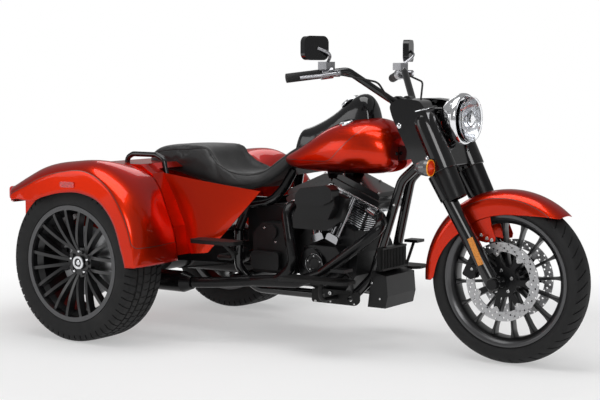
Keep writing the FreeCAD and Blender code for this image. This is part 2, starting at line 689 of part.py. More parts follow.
def fork_leg(word, side):
    """Fork tube in its lower slider, with the polished cover under the clamp and the axle's boss."""
    out = s.leg_out * side
    foot = leg_point(s.front_tyre_r - s.slider_foot, out)
    top = leg_point(s.upper_clamp_height + s.clamp_wall, out)
    x, _, z = front_centre()
    inner, outer = s.leg_out - s.slider_r, s.leg_out + s.slider_r
    pieces = [rod("slider_" + word, foot, leg_point(s.slider_top_height, out), s.slider_r),
              rod("fork_tube_" + word, leg_point(s.slider_top_height - s.overrun, out), top, s.leg_tube_r),
              rod("leg_cover_" + word, leg_point(s.leg_cover_bottom_height, out),
                  leg_point(s.leg_cover_top_height, out), s.leg_cover_r),
              rod("axle_boss_" + word, (x, inner * side, z), (x, outer * side, z), s.slider_foot)]
    bore = rod("axle_bore_" + word, (x, (inner - s.overrun) * side, z), (x, (outer + s.overrun) * side, z),
               s.front_axle_r + s.seat_gap)
    return cut("fork_leg_" + word, fused("leg_parts_" + word, pieces), bore)


def fork_legs():
    return grouped("fork_legs", [fork_leg(word, side) for word, side in SIDES])


# Side view of the nacelle: (share from its rear to its front, share from its bottom to its top)
NACELLE_SHARES = ((0.48, 0.0), (1.0, 0.0), (0.66, 0.84), (0.55, 0.97), (0.18, 1.0), (0.0, 0.90),
                  (0.06, 0.72))


def nacelle_outline():
    length = s.nacelle_front_ahead - s.nacelle_rear_ahead
    tall = s.nacelle_top_height - s.nacelle_bottom_height
    return [(s.nacelle_rear_ahead + length * along, s.nacelle_bottom_height + tall * up)
            for along, up in NACELLE_SHARES]


def inner_line(points, wall):
    """Line set in from another by a wall, to the left of the way it runs."""
    result = []
    for i, point in enumerate(points):
        here = Vector(*point[:2], 0)
        ways = []
        if i:
            ways.append((here - Vector(*points[i - 1][:2], 0)).normalize())
        if i + 1 < len(points):
            ways.append((Vector(*points[i + 1][:2], 0) - here).normalize())
        lefts = [Vector(-way.y, way.x, 0) for way in ways]
        middle = sum(lefts[1:], lefts[0]).normalize()
        share = 1 / middle.dot(lefts[0])
        result.append((point[0] + wall * (middle.x * share), point[1] + wall * (middle.y * share)))
    return result


def nacelle(neighbours):
    """Cowl round the clamps: two sides, a sloped front and a top, open below and behind."""
    shell = slab("nacelle_shell", "XZ", [corners(nacelle_outline(), s.leg_cover_r / 2)],
                 -s.nacelle_out, s.nacelle_out)
    outline = nacelle_outline()
    front_top = inner_line(outline[1:6], s.nacelle_wall)
    below = s.nacelle_bottom_height - s.leg_tube_r
    behind = s.nacelle_rear_ahead - s.leg_tube_r
    space = [(behind, below), (front_top[0][0], below)] + front_top + [(behind, front_top[-1][1])]
    inside = s.nacelle_out - s.nacelle_wall
    hollow = slab("nacelle_space", "XZ", [space], -inside, inside)
    lamp = rod("nacelle_lamp_hole", (s.headlamp_ahead - s.headlamp_depth * 2, 0, s.headlamp_height),
               (s.headlamp_ahead + s.headlamp_depth, 0, s.headlamp_height), s.headlamp_r + s.seat_gap)
    return trimmed("nacelle", shell, [fused("nacelle_cuts", [hollow, lamp])] + neighbours)


# Profile of the headlamp's bowl: (share of its depth from the back, share of its radius)
BOWL_SHARES = ((0.0, 0.30), (0.10, 0.62), (0.34, 0.88), (0.72, 1.0), (1.0, 1.0))


def headlamp():
    """Deep bowl with a rolled bezel, hollow behind its lens."""
    back = s.headlamp_ahead - s.headlamp_depth
    outer = [(s.headlamp_r * r, s.headlamp_depth * along) for along, r in BOWL_SHARES]
    rim_top = s.headlamp_depth + s.bezel_wall
    inner = [(s.headlamp_r * r - s.shell_wall, s.headlamp_depth * along)
             for along, r in reversed(BOWL_SHARES[1:])]
    outline = ([(0, 0)] + outer + [(s.bezel_r, s.headlamp_depth), (s.bezel_r, rim_top - s.lip_wall),
               (s.bezel_r - s.lip_wall, rim_top), (s.headlamp_r - s.shell_wall, rim_top)]
               + inner + [(0, s.headlamp_depth * BOWL_SHARES[1][0])])
    bowl = turned("headlamp_bowl", [outline], (back, 0, s.headlamp_height), AHEAD)
    return cut("headlamp", bowl, headlamp_stay("stay_end"))


def headlamp_lens():
    face = s.headlamp_ahead + s.bezel_wall - s.lip_wall
    r = s.headlamp_r - s.shell_wall - s.seat_gap
    outline = [(0, 0), (r, 0), (r, s.lens_wall, s.lens_bulge / 4), (0, s.lens_wall + s.lens_bulge)]
    return turned("headlamp_lens", [outline], (face, 0, s.headlamp_height), AHEAD)


# Profile of a bullet signal: (share of its length from the tail, share of its radius)
SIGNAL_SHARES = ((0.0, 0.30), (0.14, 0.62), (0.40, 0.90), (0.72, 1.0), (1.0, 1.0))


def turn_signals():
    """Bullet lamps on short arms from the nacelle, each with its lens in front."""
    tail = s.signal_ahead - s.signal_length
    parts = []
    for word, side in SIDES:
        outline = [(0, 0)] + [(s.signal_r * r, s.signal_length * along) for along, r in SIGNAL_SHARES]
        edge = s.signal_r - s.rim_wall / 2
        outline += [(edge, s.signal_length, s.lens_wall), (0, s.signal_length + s.lens_bulge)]
        shell = turned("signal_shell_" + word, [outline], (tail, s.signal_out * side, s.signal_height),
                       AHEAD)
        arm = rod("signal_arm_" + word, (s.signal_ahead - s.signal_r, s.nacelle_out * side,
                                         s.signal_height),
                  (s.signal_ahead - s.signal_r, s.signal_out * side, s.signal_height), s.signal_arm_r)
        parts.append(fused("signal_" + word, [shell, arm]))
    return grouped("turn_signals", parts)


def bar_points():
    side = [(s.bar_end_ahead, s.bar_end_out, s.bar_end_height),
            (s.bar_bend_ahead, s.bar_bend_out, s.bar_bend_height),
            (s.bar_clamp_ahead, s.bar_flat_out, s.bar_clamp_height)]
    return [(x, -y, z) for x, y, z in side] + side[::-1]


def handlebar():
    """One bent tube, with two forged risers down to the upper clamp."""
    bar = shaped("bar_tube", swept(bar_points(), s.bar_bend_radius, s.bar_r))
    top = clamp_faces(s.upper_clamp_height)[1]
    parts = [bar]
    for word, side in SIDES:
        foot = (top[0], s.bar_flat_out / 2 * side, top[2])
        head = (s.bar_clamp_ahead, s.bar_flat_out / 2 * side, s.bar_clamp_height)
        parts.append(rod("riser_" + word, foot, head, s.riser_r))
        parts.append(rod("riser_clamp_" + word, (head[0], head[1] - s.bar_r, head[2]),
                         (head[0], head[1] + s.bar_r, head[2]), s.bar_r + s.rim_wall))
    return cut("handlebar", fused("bar_parts", parts), clamp("riser_seat", s.upper_clamp_height))


def grip_way(side):
    return Vector(s.bar_bend_ahead - s.bar_end_ahead, (s.bar_bend_out - s.bar_end_out) * side,
                  s.bar_bend_height - s.bar_end_height).normalize()


def bar_end(side):
    return (s.bar_end_ahead, s.bar_end_out * side, s.bar_end_height)


def hand_grips():
    """Rubber sleeves over the bar's ends, closed outside."""
    parts = []
    for word, side in SIDES:
        way = grip_way(side)
        start = moved(bar_end(side), way, -s.shell_wall)
        sleeve = rod("grip_sleeve_" + word, start, moved(start, way, s.grip_length), s.grip_r)
        bore = rod("grip_bore_" + word, moved(bar_end(side), way, -s.seat_gap),
                   moved(start, way, s.grip_length + s.overrun), s.bar_r + s.seat_gap)
        parts.append(cut("grip_" + word, sleeve, bore))
    return grouped("hand_grips", parts)


def hand_controls(grips):
    """Switch housings with the levers in front of the grips and a reservoir on each."""
    parts = []
    for word, side in SIDES:
        way = grip_way(side)
        start = moved(bar_end(side), way, s.grip_length)
        end = moved(start, way, s.switch_length)
        housing = rod("switch_body_" + word, start, end, s.switch_r)
        middle = moved(start, way, s.switch_length / 2)
        pivot = (middle[0] + s.lever_reach, middle[1], middle[2])
        arm = rod("lever_arm_" + word, middle, pivot, s.lever_wall * 2)
        blade = [pivot, moved(moved(pivot, -way, s.lever_length / 2), AHEAD, s.lever_wall),
                 moved(moved(pivot, -way, s.lever_length), AHEAD, -s.lever_wall)]
        lever = shaped("lever_" + word, swept(blade, s.bar_bend_radius, s.lever_wall))
        low = (middle[0] - s.reservoir_width / 2, middle[1] - s.reservoir_length / 2, middle[2] + s.bar_r)
        tank = block("reservoir_" + word, low, (low[0] + s.reservoir_width, low[1] + s.reservoir_length,
                                                low[2] + s.reservoir_height))
        stalk = swept([(middle[0], middle[1], middle[2] + s.reservoir_height),
                       (s.mirror_ahead + s.mirror_wall * 2, (s.mirror_out + middle[1] * side) / 2 * side,
                        (s.mirror_height + middle[2]) / 2 + s.mirror_wall),
                       (s.mirror_ahead + s.mirror_wall / 2, s.mirror_out * side, s.mirror_height)],
                      s.bar_bend_radius, s.stalk_r)
        bar = rod("switch_bore_" + word, moved(start, way, -s.overrun), moved(end, way, s.bar_bend_radius),
                  s.bar_r + s.seat_gap)
        solid = fused("control_parts_" + word, [housing, arm, lever, tank, shaped("stalk_" + word, stalk)])
        parts.append(cut("controls_" + word, solid, fused("control_cuts_" + word,
                                                         [bar, mirror_head("stalk_end_" + word, side)])))
    return trimmed("hand_controls", grouped("control_pair", parts), [grips])


def mirror_head(word, side):
    """Soft-cornered mirror shell, turned in towards the rider."""
    half = s.mirror_width / 2
    rise = s.mirror_tall / 2
    outline = corners(rectangle(-half, -rise, half, rise), s.mirror_wall)
    base = (s.mirror_ahead, s.mirror_out * side, s.mirror_height)
    return slab(word, "YZ", [outline], -s.mirror_wall / 2, s.mirror_wall / 2, base,
                Rotation(UP, float(s.mirror_toe) * side))


def mirrors():
    return grouped("mirrors", [mirror_head("mirror_" + word, side) for word, side in SIDES])


# Cross-section of the front fender's crown: (share of the skirt's rise, share of the half width)
FENDER_CROWN_SHARES = ((0.0, 1.0), (0.55, 0.96), (0.86, 0.66), (1.0, 0.0))


def front_fender():
    """Rolled arch over the front tyre, with a stay on each side down to the fork slider."""
    rise = s.front_fender_r - s.front_fender_skirt_r
    half = [(s.front_fender_skirt_r + rise * up, s.front_fender_out * out) for up,
            out in FENDER_CROWN_SHARES]
    outer = half + [(r, -h) for r, h in reversed(half[:-1])]
    body = new_body("front_fender_arch")
    section = outer + inner_line(outer, -s.front_fender_wall)[::-1]
    sketch = draw(body, "XZ_Plane", [section], "front_fender_section")
    arch = body.newObject("PartDesign::Revolution", "front_fender_turning")
    arch.Profile = sketch
    arch.ReferenceAxis = (sketch, ["V_Axis"])
    arch.Midplane = True
    arch.setExpression("Angle", s.front_fender_sweep.text)
    middle = math.radians(s.front_fender_start + s.front_fender_sweep / 2)
    radial = Vector(math.cos(middle), 0, math.sin(middle))
    put(body, front_centre(), Rotation(radial, Vector(), LEFT, "ZXY"))
    stays = []
    for word, side in SIDES:
        near = (s.front_fender_out - s.front_fender_wall) * side
        far = s.leg_out * side
        low, high = sorted((near, far), key=float)
        x, _, z = leg_point(s.front_tyre_r + s.front_fender_skirt_r * STAY_SHARE)
        tall = s.front_fender_r - s.front_fender_skirt_r
        stays.append(block("fender_stay_" + word, (x - s.slider_r * 2, low, z - tall),
                           (x + s.slider_r * 2, high, z + tall / 2)))
    legs = [rod("stay_cut_" + word, leg_point(s.front_tyre_r, s.leg_out * side),
                leg_point(s.slider_top_height, s.leg_out * side), s.slider_r) for word, side in SIDES]
    tyre = turned("stay_tyre_room", [rectangle(0, -s.front_fender_out + s.front_fender_wall,
                  s.front_fender_skirt_r, s.front_fender_out - s.front_fender_wall)], front_centre(), LEFT)
    solid = fused("front_fender_parts", [body] + stays)
    return cut("front_fender", solid, fused("front_fender_cuts", legs + [tyre]))


# Height of the fender's stay on the leg, as a share of the skirt's radius over the axle
STAY_SHARE = 0.80
# Direction from the wheel's centre to the front caliper, in degrees from straight ahead
CALIPER_TURN_SHARE = 0.43


def front_calipers():
    """Calipers behind the legs, each over its disc, with a lug to the slider."""
    parts = []
    angle = 360 * CALIPER_TURN_SHARE
    way = Vector(math.cos(math.radians(angle)), 0, math.sin(math.radians(angle)))
    x, _, z = front_centre()
    for word, side in SIDES:
        reach = s.front_disc_r - s.caliper_depth / 2
        outline = corners(rectangle(-s.caliper_length / 2, -s.caliper_depth / 2, s.caliper_length / 2,
                                    s.caliper_depth / 2), s.lug_r)
        middle = (x + reach * way.x, s.front_disc_out * side, z + reach * way.z)
        turn = Rotation(LEFT, -(angle - 90))
        body = slab("caliper_body_" + word, "XZ", [outline], -s.caliper_width / 2, s.caliper_width / 2,
                    middle, turn)
        near, far = sorted((s.front_disc_out * side + s.lug_r * side, s.leg_out * side), key=float)
        lug = block("caliper_lug_" + word, (middle[0], near, middle[2] - s.lug_r),
                    (leg_point(middle[2])[0], far, middle[2] + s.lug_r))
        slot = turned("caliper_slot_" + word, [rectangle(0, -s.rim_wall, s.front_disc_r + s.shell_wall,
                      s.rim_wall)], (x, s.front_disc_out * side, z), outwards(side))
        leg = rod("caliper_leg_" + word, leg_point(s.front_tyre_r - s.slider_foot, s.leg_out * side),
                  leg_point(s.slider_top_height, s.leg_out * side), s.slider_r)
        solid = fused("caliper_parts_" + word, [body, lug])
        parts.append(cut("front_caliper_" + word, solid, fused("caliper_cuts_" + word, [slot, leg])))
    return grouped("front_calipers", parts)


# Side view of the rear body, from its lowest rear corner round over the deck to the front edge:
# (share of the length from the rear, share of the height from the lowest edge)
TUB_SKIN_SHARES = ((0.018, 0.0), (0.0, 0.29), (0.013, 0.54), (0.084, 0.65), (0.222, 0.79), (0.378, 0.93),
                   (0.525, 1.0), (0.775, 1.0), (0.842, 0.90), (0.908, 0.59), (0.957, 0.32), (0.98, 0.0))
# The underside: the front wheel-well wall steps up to the trunk's floor
TUB_UNDER_SHARES = (0.80, 0.71, 0.127, 0.096)


def tub_place(along, up):
    length = s.tub_rear_back + s.tub_front_ahead
    tall = s.deck_height - s.tub_bottom_height
    return (length * along - s.tub_rear_back, s.tub_bottom_height + tall * up)


def tub_skin():
    return [tub_place(along, up) for along, up in TUB_SKIN_SHARES]


def deck_at(points, ahead):
    """Height of a skin line where it passes a place."""
    for a, b in zip(points, points[1:]):
        if a[0] <= ahead <= b[0]:
            share = (float(ahead) - a[0]) / (b[0] - a[0])
            return a[1] + (b[1] - a[1]) * share
    raise ValueError("the skin does not reach this place")


def lid_line():
    """Skin that the lid covers: from its front edge back over the deck and down the rear face."""
    skin = tub_skin()[1:]
    front = (-s.lid_front_back, deck_at(skin, -s.lid_front_back))
    return [point for point in skin if point[0] < -s.lid_front_back] + [front]


def hinge_point():
    ahead = s.hinge_ahead - s.lid_front_back
    return (ahead, 0, deck_at(tub_skin(), ahead) - s.hinge_drop)


def rounded_rear(word, piece, wall):
    """A piece less the two rear corners of the body in plan, this far inside its skin."""
    side, back = s.tub_out - wall, s.tub_rear_back - wall
    near, over = side - s.rear_corner, s.tub_wall * 2
    tools = []
    for hand, way in SIDES:
        plan = [(s.rear_corner - back, side * way), (-back, near * way), (-back - over, near * way),
                (-back - over, (side + over) * way), (s.rear_corner - back, (side + over) * way)]
        tools.append(slab("%s_corner_%s" % (word, hand), "XY", [plan], 0, s.deck_height * 2))
    return trimmed(word, piece, tools)


def trunk_tub():
    """Moulded rear body: trunk in its rear half, open arch over the frame in its front half."""
    skin = tub_skin()
    under = [tub_place(TUB_UNDER_SHARES[0], 0),
             (tub_place(TUB_UNDER_SHARES[1], 0)[0], s.trunk_floor_height),
             (tub_place(TUB_UNDER_SHARES[2], 0)[0], s.trunk_floor_height), tub_place(TUB_UNDER_SHARES[3], 0)]
    shell = slab("tub_shell", "XZ", [skin + under], -s.tub_out, s.tub_out)
    inside = inner_line(skin, -s.tub_wall)
    trunk_front = s.hinge_ahead
    floor = s.trunk_floor_height + s.tub_wall
    rear = [point for point in inside if point[0] < trunk_front and point[1] > floor]
    trunk = [(rear[0][0], floor)] + rear + [(trunk_front, rear[-1][1]), (trunk_front, floor)]
    half = s.tub_out - s.tub_wall
    arch_rear = trunk_front + s.tub_wall
    front = [point for point in inside if point[0] > arch_rear]
    low = s.tub_bottom_height - s.tub_wall
    arch = [(arch_rear, low), (arch_rear, front[0][1])] + front[:-1] + [(front[-1][0], low)]
    gap = s.panel_gap
    cuts = [slab("trunk_space", "XZ", [trunk], -half, half), slab("frame_arch", "XZ", [arch], -half, half),
            block("lid_opening", (-s.tub_rear_back - gap, -s.lid_out - gap, s.lid_bottom_height - gap),
                  (s.lid_front_gap - s.lid_front_back, s.lid_out + gap, s.deck_height + gap)),
            block("frame_opening", (arch_rear + s.tub_wall, -s.front_opening_out, low),
                  (s.tub_front_ahead + gap, s.front_opening_out, s.deck_height - s.tub_wall * 2))]
    pieces = [cut("tub_hollow", rounded_rear("tub_outside", shell, 0),
                  rounded_rear("tub_inside", fused("tub_cuts", cuts), s.tub_wall))]
    x, _, z = hinge_point()
    for word, side in SIDES:
        for i, reach in enumerate((-s.hinge_eye_out - s.bracket_wall - s.head_play,
                                   s.hinge_eye_out + s.head_play)):
            near = s.hinge_out + reach
            low_y, high_y = sorted((near * side, (near + s.bracket_wall) * side), key=float)
            pieces.append(block("hinge_plate_%s_%d" % (word, i),
                                (x - s.hinge_eye_r, low_y, z - s.hinge_eye_r),
                                (x + s.hinge_eye_r, high_y, z + s.hinge_drop - s.tub_wall)))
        reach = s.hinge_eye_out + s.head_play + s.bracket_wall
        pieces.append(rod("hinge_pin_" + word, (x, (s.hinge_out - reach) * side, z),
                          (x, (s.hinge_out + reach) * side, z), s.hinge_pin_r))
    frame = slab("plate_frame", "YZ", [rectangle(-s.plate_width / 2, s.plate_height - s.plate_tall / 2,
                 s.plate_width / 2, s.plate_height + s.plate_tall / 2)]
                 + [ring(y * s.plate_hole_spacing / 2, s.plate_height + up * s.plate_hole_rise / 2,
                         s.plate_hole_r)
                    for y in (-1, 1) for up in (-1, 1)],
                 -s.plate_back, -s.plate_back + s.plate_wall)
    foot = block("plate_foot", (-s.plate_back + s.plate_wall, -s.plate_width / 4, s.plate_height),
                 (-s.tub_rear_back + s.tub_wall + s.overrun, s.plate_width / 4,
                  s.plate_height + s.plate_wall))
    pieces += [frame, foot]
    return fused("trunk_tub", pieces)


def trunk_lid():
    """Lid over the deck and the rear face, on two goosenecks that turn on pins ahead of its front edge."""
    line = lid_line()
    outline = line + inner_line(line, -s.lid_wall)[::-1]
    panel = slab("lid_panel", "XZ", [outline], -s.lid_out, s.lid_out)
    x, _, z = hinge_point()
    far = x - s.arm_drop * 2 - s.arm_r * 2
    top = deck_at(tub_skin(), far) - s.lid_wall / 2
    parts = [panel]
    bores = []
    for word, side in SIDES:
        y = s.hinge_out * side
        route = [(x, y, z), (x - s.arm_drop, y, z - s.arm_drop), (x - s.arm_drop * 2, y, z - s.arm_drop),
                 (far, y, top)]
        parts.append(shaped("lid_arm_" + word, swept(route, s.arm_r * 2, s.arm_r)))
        parts.append(rod("lid_eye_" + word, (x, y - s.hinge_eye_out, z), (x, y + s.hinge_eye_out, z),
                         s.hinge_eye_r))
        bores.append(rod("lid_bore_" + word, (x, y - s.hinge_eye_out * 2, z),
                         (x, y + s.hinge_eye_out * 2, z),
                         s.hinge_pin_r + s.running_gap))
    return cut("trunk_lid", fused("lid_parts", parts), fused("lid_bores", bores))


# Rear fender, by the angle round the wheel from straight ahead: its arch edge, its character line, its
# crown and its inner valley, each as a share of the tyre's radius
FENDER_SHARES = ((2.5, 1.05, 1.185, 1.222, 1.16), (16, 1.02, 1.195, 1.277, 1.175),
                 (35, 1.045, 1.23, 1.338, 1.215),
                 (53, 1.043, 1.272, 1.375, 1.33), (68, 0.985, 1.265, 1.378, 1.305), (90, 0.908, 1.166, 1.290, 1.215),
                 (110, 0.895, 1.132, 1.286, 1.245), (124, 0.935, 1.148, 1.304, 1.30), (133, 1.09, 1.20, 1.345, 1.35),
                 (142, 1.24, 1.262, 1.43, 1.40))


def fender_section(angle, arch, line, crown, valley, side):
    """Thin closed section of the fender in one plane through the wheel's axis."""
    wall = float(s.fender_wall)
    places = [(s.arch_out, arch), (s.line_out, line), (s.crown_out, crown), (s.tub_out, valley)]
    points = [(float(out), float(s.rear_tyre_r) * share) for out, share in places]
    inner = [(points[3][0], points[3][1] - wall), (points[2][0] - wall / 2, points[2][1] - wall),
             (points[1][0] - wall, points[1][1] - wall / 2), (points[0][0] - wall, points[0][1])]
    turn = math.radians(angle)
    return polygon([(r * math.cos(turn), out * side, s.rear_tyre_r + r * math.sin(turn))
                    for out, r in points + inner])


def tail_back():
    """Plane of the fender's rear face, behind the axle."""
    return s.rear_tyre_r * TAIL_BACK_SHARE


TAIL_BACK_SHARE = 1.07
# Rear face of the fender: (share from the tub's side to the outer skin, share of the lamp's height)
TAIL_SHARES = ((0.0, -0.16), (0.92, -0.16), (0.985, 0.36), (0.70, 1.06), (0.0, 1.02))


# Lower and upper edge of the slanted corner plate at its front and its rear, as shares of the lamp's height
TAIL_CORNER_SHARES = ((0.10, 0.44), (-0.16, 0.84))


def tail_corner(name, front, rear):
    """Slanted plate that closes the fender between its side and its rear face."""
    ends = [Vector(float(x), float(y), float(s.lamp_bottom_height)) for x, y in (front, rear)]
    inward = Vector(0, 0, 1).cross(ends[1] - ends[0])
    inward.multiply((float(s.tail_wall) if inward.x > 0 else -float(s.tail_wall)) / inward.Length)
    up = Vector(0, 0, float(s.lamp_tall))
    low, high = [[end + up * share[i] for end, share in zip(ends, TAIL_CORNER_SHARES)] for i in (0, 1)]
    outline = [low[0], high[0], high[1], low[1]]
    faces = [polygon([point + inward * share for point in outline]) for share in (0, 1)]
    return shaped(name + "_corner_plate", Part.makeLoft(faces, True, True))


def fender(word, side):
    """Shell from the front valance over the wheel to the tail, closed behind by the lamp's face."""
    name = "fender_" + word
    sections = [fender_section(*row, side) for row in FENDER_SHARES]
    shell = shaped(name + "_shell", Part.makeLoft(sections, True, False))
    back = tail_back()
    low, high = sorted((s.tub_out * side, s.body_out * side), key=float)
    behind = block(name + "_end", (-s.tub_rear_back, low, 0), (-back, high, s.deck_height))
    width = s.arch_out - s.tub_out
    face = [((s.tub_out + width * out) * side, s.lamp_bottom_height + s.lamp_tall * up) for out,
            up in TAIL_SHARES]
    tail = slab(name + "_tail", "YZ", [face], -back, -back + s.tail_wall)
    whole = fused(name + "_whole", [cut(name + "_cut", shell, behind), tail])
    front, inner = s.tail_corner_length - back, (s.arch_out - s.tail_corner_width) * side
    plan = [(front, s.arch_out * side), (-back, inner), (-s.tub_rear_back, inner),
            (-s.tub_rear_back, s.body_out * side), (front, s.body_out * side)]
    corner = slab(name + "_corner", "XY", [plan], 0, s.deck_height)
    return fused(name, [cut(name + "_trimmed", whole, corner), tail_corner(name, (front, s.arch_out * side),
                                                                         (-back, inner))])


def tail_lamps():
    """Lamp on the rear face of each fender and reflector on its side, in one red moulding each."""
    parts = []
    back = tail_back()
    middle = (s.tub_out + s.arch_out) / 2
    for word, side in SIDES:
        outline = corners(rectangle(middle * side - s.lamp_width / 2, s.lamp_bottom_height,
                                    middle * side + s.lamp_width / 2, s.lamp_bottom_height + s.lamp_tall),
                          s.lamp_tall / 4)
        parts.append(slab("tail_lamp_" + word, "YZ", [outline], -back - s.lamp_wall, -back))
    return grouped("tail_lamps", parts)


def side_markers(fenders):
    parts = []
    for (word, side), shell in zip(SIDES, fenders):
        low, high = sorted((s.line_out * side, (s.arch_out + s.marker_wall / 2) * side), key=float)
        middle = s.marker_height
        outline = corners(rectangle(s.marker_ahead, middle - s.marker_tall / 2,
                                    s.marker_ahead + s.marker_length,
                                    middle + s.marker_tall / 2), s.lug_r)
        body = slab("marker_body_" + word, "XZ", [outline], low, high)
        parts.append(cut("side_marker_" + word, body, shell))
    return grouped("side_markers", parts)


# Route of a grab rail seen from the side: (share of its length from the rear, share of its rise)
RAIL_SHARES = ((0.0, -0.5), (0.02, 0.55), (0.16, 1.0), (0.74, 1.0), (0.93, 0.5), (1.0, -1.3))


def grab_rails(tub):
    """Bent tube on each side of the pillion seat, standing on the rear body."""
    parts = []
    for word, side in SIDES:
        route = [(s.grab_rear_ahead + s.grab_length * along, s.rail_out * side,
                  s.deck_height + s.grab_rise * up)
                 for along, up in RAIL_SHARES]
        parts.append(shaped("rail_tube_" + word, swept(route, s.rail_bend_radius, s.rail_r)))
    return cut("grab_rails", grouped("rail_tubes", parts), tub)


def panel_form(side, inner, outer):
    """Side panel's surface as a plate that reaches inwards and outwards from its outer face."""
    skin = tub_skin()
    top, bottom = skin[8], skin[11]
    rear = [(top[0], s.panel_rear_out, top[1] - s.seat_gap), (bottom[0], s.panel_rear_out, bottom[1])]
    front = [(s.panel_front_top_ahead, s.panel_front_top_out, s.panel_front_top_height),
             (s.panel_front_low_ahead, s.panel_front_low_out, s.panel_front_low_height)]
    wires = []
    for share, bulge in ((0.0, 0.0), (0.5, 1.0), (1.0, 0.0)):
        ends = []
        for a, b in zip(rear, front):
            x, y, z = (float(p) + (float(q) - float(p)) * share for p, q in zip(a, b))
            ends.append((x, y + bulge * float(s.panel_bulge), z))
        (x1, y1, z1), (x2, y2, z2) = ends
        near, far = float(inner), float(outer)
        wires.append(polygon([(x1, (y1 + far) * side, z1), (x1, (y1 - near) * side, z1),
                              (x2, (y2 - near) * side, z2), (x2, (y2 + far) * side, z2)]))
    return Part.makeLoft(wires, True, False)


def side_panels(tub):
    """Curved panel from the rear body's front edge forwards and in to the frame, under the seat."""
    panels = [shaped("side_panel_" + word, panel_form(side, s.side_panel_wall, 0)) for word, side in SIDES]
    return cut("side_panels", grouped("side_panel_pair", panels), tub)


def oval(x, half_width, low, high, widest, squareness, count=14):
    """Closed smooth section across the vehicle: a rounded outline from low to high."""
    points = []
    power = 2 / squareness
    for i in range(count):
        turn = 2 * math.pi * i / count
        c, d = math.cos(turn), math.sin(turn)
        y = half_width * math.copysign(abs(c) ** power, c)
        middle = low + (high - low) * widest
        reach = (high - middle) if d > 0 else (middle - low)
        points.append((x, y, middle + reach * math.copysign(abs(d) ** power, d)))
    return closed_curve(points)


# Fuel tank stations: (share of length, of half width, of height for the underside, of height for the top)
TANK_SHARES = ((0.0, 0.40, 0.18, 0.27), (0.08, 0.62, 0.07, 0.38), (0.25, 0.82, 0.02, 0.60),
               (0.45, 0.94, 0.0, 0.87), (0.63, 1.0, 0.0, 0.98), (0.78, 0.98, 0.01, 1.0),
               (0.92, 0.86, 0.05, 0.88), (1.0, 0.62, 0.18, 0.66))
TANK_SQUARENESS = 2.5
TANK_WIDEST_SHARE = 0.42


def tank_shape(grow=0.0):
    wires = [oval(float(s.tank_rear_ahead + s.tank_length * along), float(s.tank_out * wide) + grow,
                  float(s.tank_bottom_height + s.tank_height * low) - grow,
                  float(s.tank_bottom_height
                        + s.tank_height * high) + grow, TANK_WIDEST_SHARE, TANK_SQUARENESS)
             for along, wide, low, high in TANK_SHARES]
    return Part.makeLoft(wires, True, False)


def backbone_line():
    """Middle line of the backbone, from the steering head back to the seat rails."""
    return steering_point(s.backbone_front_height), (s.backbone_rear_ahead, 0, s.backbone_rear_height)


def backbone_outline(grow=0):
    (x1, _, z1), (x2, _, z2) = backbone_line()
    half = s.backbone_tall / 2 + grow
    return [(x2 - grow, z2 - half), (x1, z1 - half), (x1, z1 + half), (x2 - grow, z2 + half)]


def fuel_tank():
    """Teardrop tank, saddled over the backbone by the tunnel in its underside."""
    body = shaped("tank_form", tank_shape())
    (x1, _, z1), (x2, _, z2) = backbone_line()
    half = s.backbone_tall / 2
    low = s.tank_bottom_height - s.backbone_tall
    tunnel = [(x2 - s.tank_length, low), (x1, low), (x1, z1 + half), (x2, z2 + half),
              (x2 - s.tank_length, z2 + half)]
    inside = s.backbone_out + s.tunnel_gap
    return cut("fuel_tank", body, slab("tank_tunnel", "XZ", [tunnel], -inside, inside))


# Console stations: (share of length, share of half width, share of rise over its lowest top)
CONSOLE_SHARES = ((0.0, 0.50, 0.0), (0.12, 0.80, 0.34), (0.30, 0.92, 0.48), (0.50, 1.0, 0.72),
                  (0.64, 1.0, 0.93),
                  (0.76, 1.0, 1.0), (0.86, 0.92, 0.76), (1.0, 0.60, 0.34))


def console():
    """Instrument pod and its long tail along the top of the tank, with the filler cap behind the pod."""
    rise = s.console_top_height - s.console_low_height
    wires = [oval(float(s.console_rear_ahead + s.console_length * along), float(s.console_out * wide),
                  float(s.console_low_height - s.console_depth), float(s.console_low_height + rise * up),
                  0.5, TANK_SQUARENESS, 12) for along, wide, up in CONSOLE_SHARES]
    form = shaped("console_form", Part.makeLoft(wires, True, False))
    return cut("console", form, doc.getObject("tank_form"))


# Seat stations: (share of length, share of half width, height shares of the underside and of the top)
SEAT_SHARES = ((0.0, 0.42, 0.55, 0.72), (0.05, 0.78, 0.50, 0.80), (0.16, 0.88, 0.49, 0.85),
               (0.33, 0.90, 0.36, 0.85),
               (0.49, 0.88, 0.20, 0.80), (0.57, 0.93, 0.10, 0.56), (0.65, 1.0, 0.07, 0.42), (0.76, 1.0, 0.13, 0.42),
               (0.86, 0.84, 0.38, 0.56), (0.90, 0.66, 0.58, 0.70), (0.95, 0.46, 0.68, 0.86), (1.0, 0.26, 0.80, 1.0))


def seat(neighbours):
    """Two-up saddle: pillion pad behind, rider's bucket ahead, nose up against the tank."""
    tall = s.seat_top_height - s.seat_bottom_height
    wires = [oval(float(s.seat_length * along - s.seat_rear_back), float(s.seat_out * wide),
                  float(s.seat_bottom_height
                        + tall * low), float(s.seat_bottom_height + tall * high), 0.45, 2.9)
             for along, wide, low, high in SEAT_SHARES]
    inside = s.backbone_out + s.tunnel_gap
    notch = slab("seat_notch", "XZ", [backbone_outline(s.tunnel_gap)], -inside, inside)
    return trimmed("seat", shaped("seat_form", Part.makeLoft(wires, True, False)), neighbours + [notch])


def vee_place(side, along, across=0, out=0):
    """Point beside a cylinder's axis: along it from the crank, and across it towards the front."""
    angle = math.radians(s.vee_half_angle)
    sin, cos = math.sin(angle), math.cos(angle)
    return (s.crank_ahead + along * (sin * side) + across * cos, out,
            s.crank_height + along * cos - across * (sin * side))


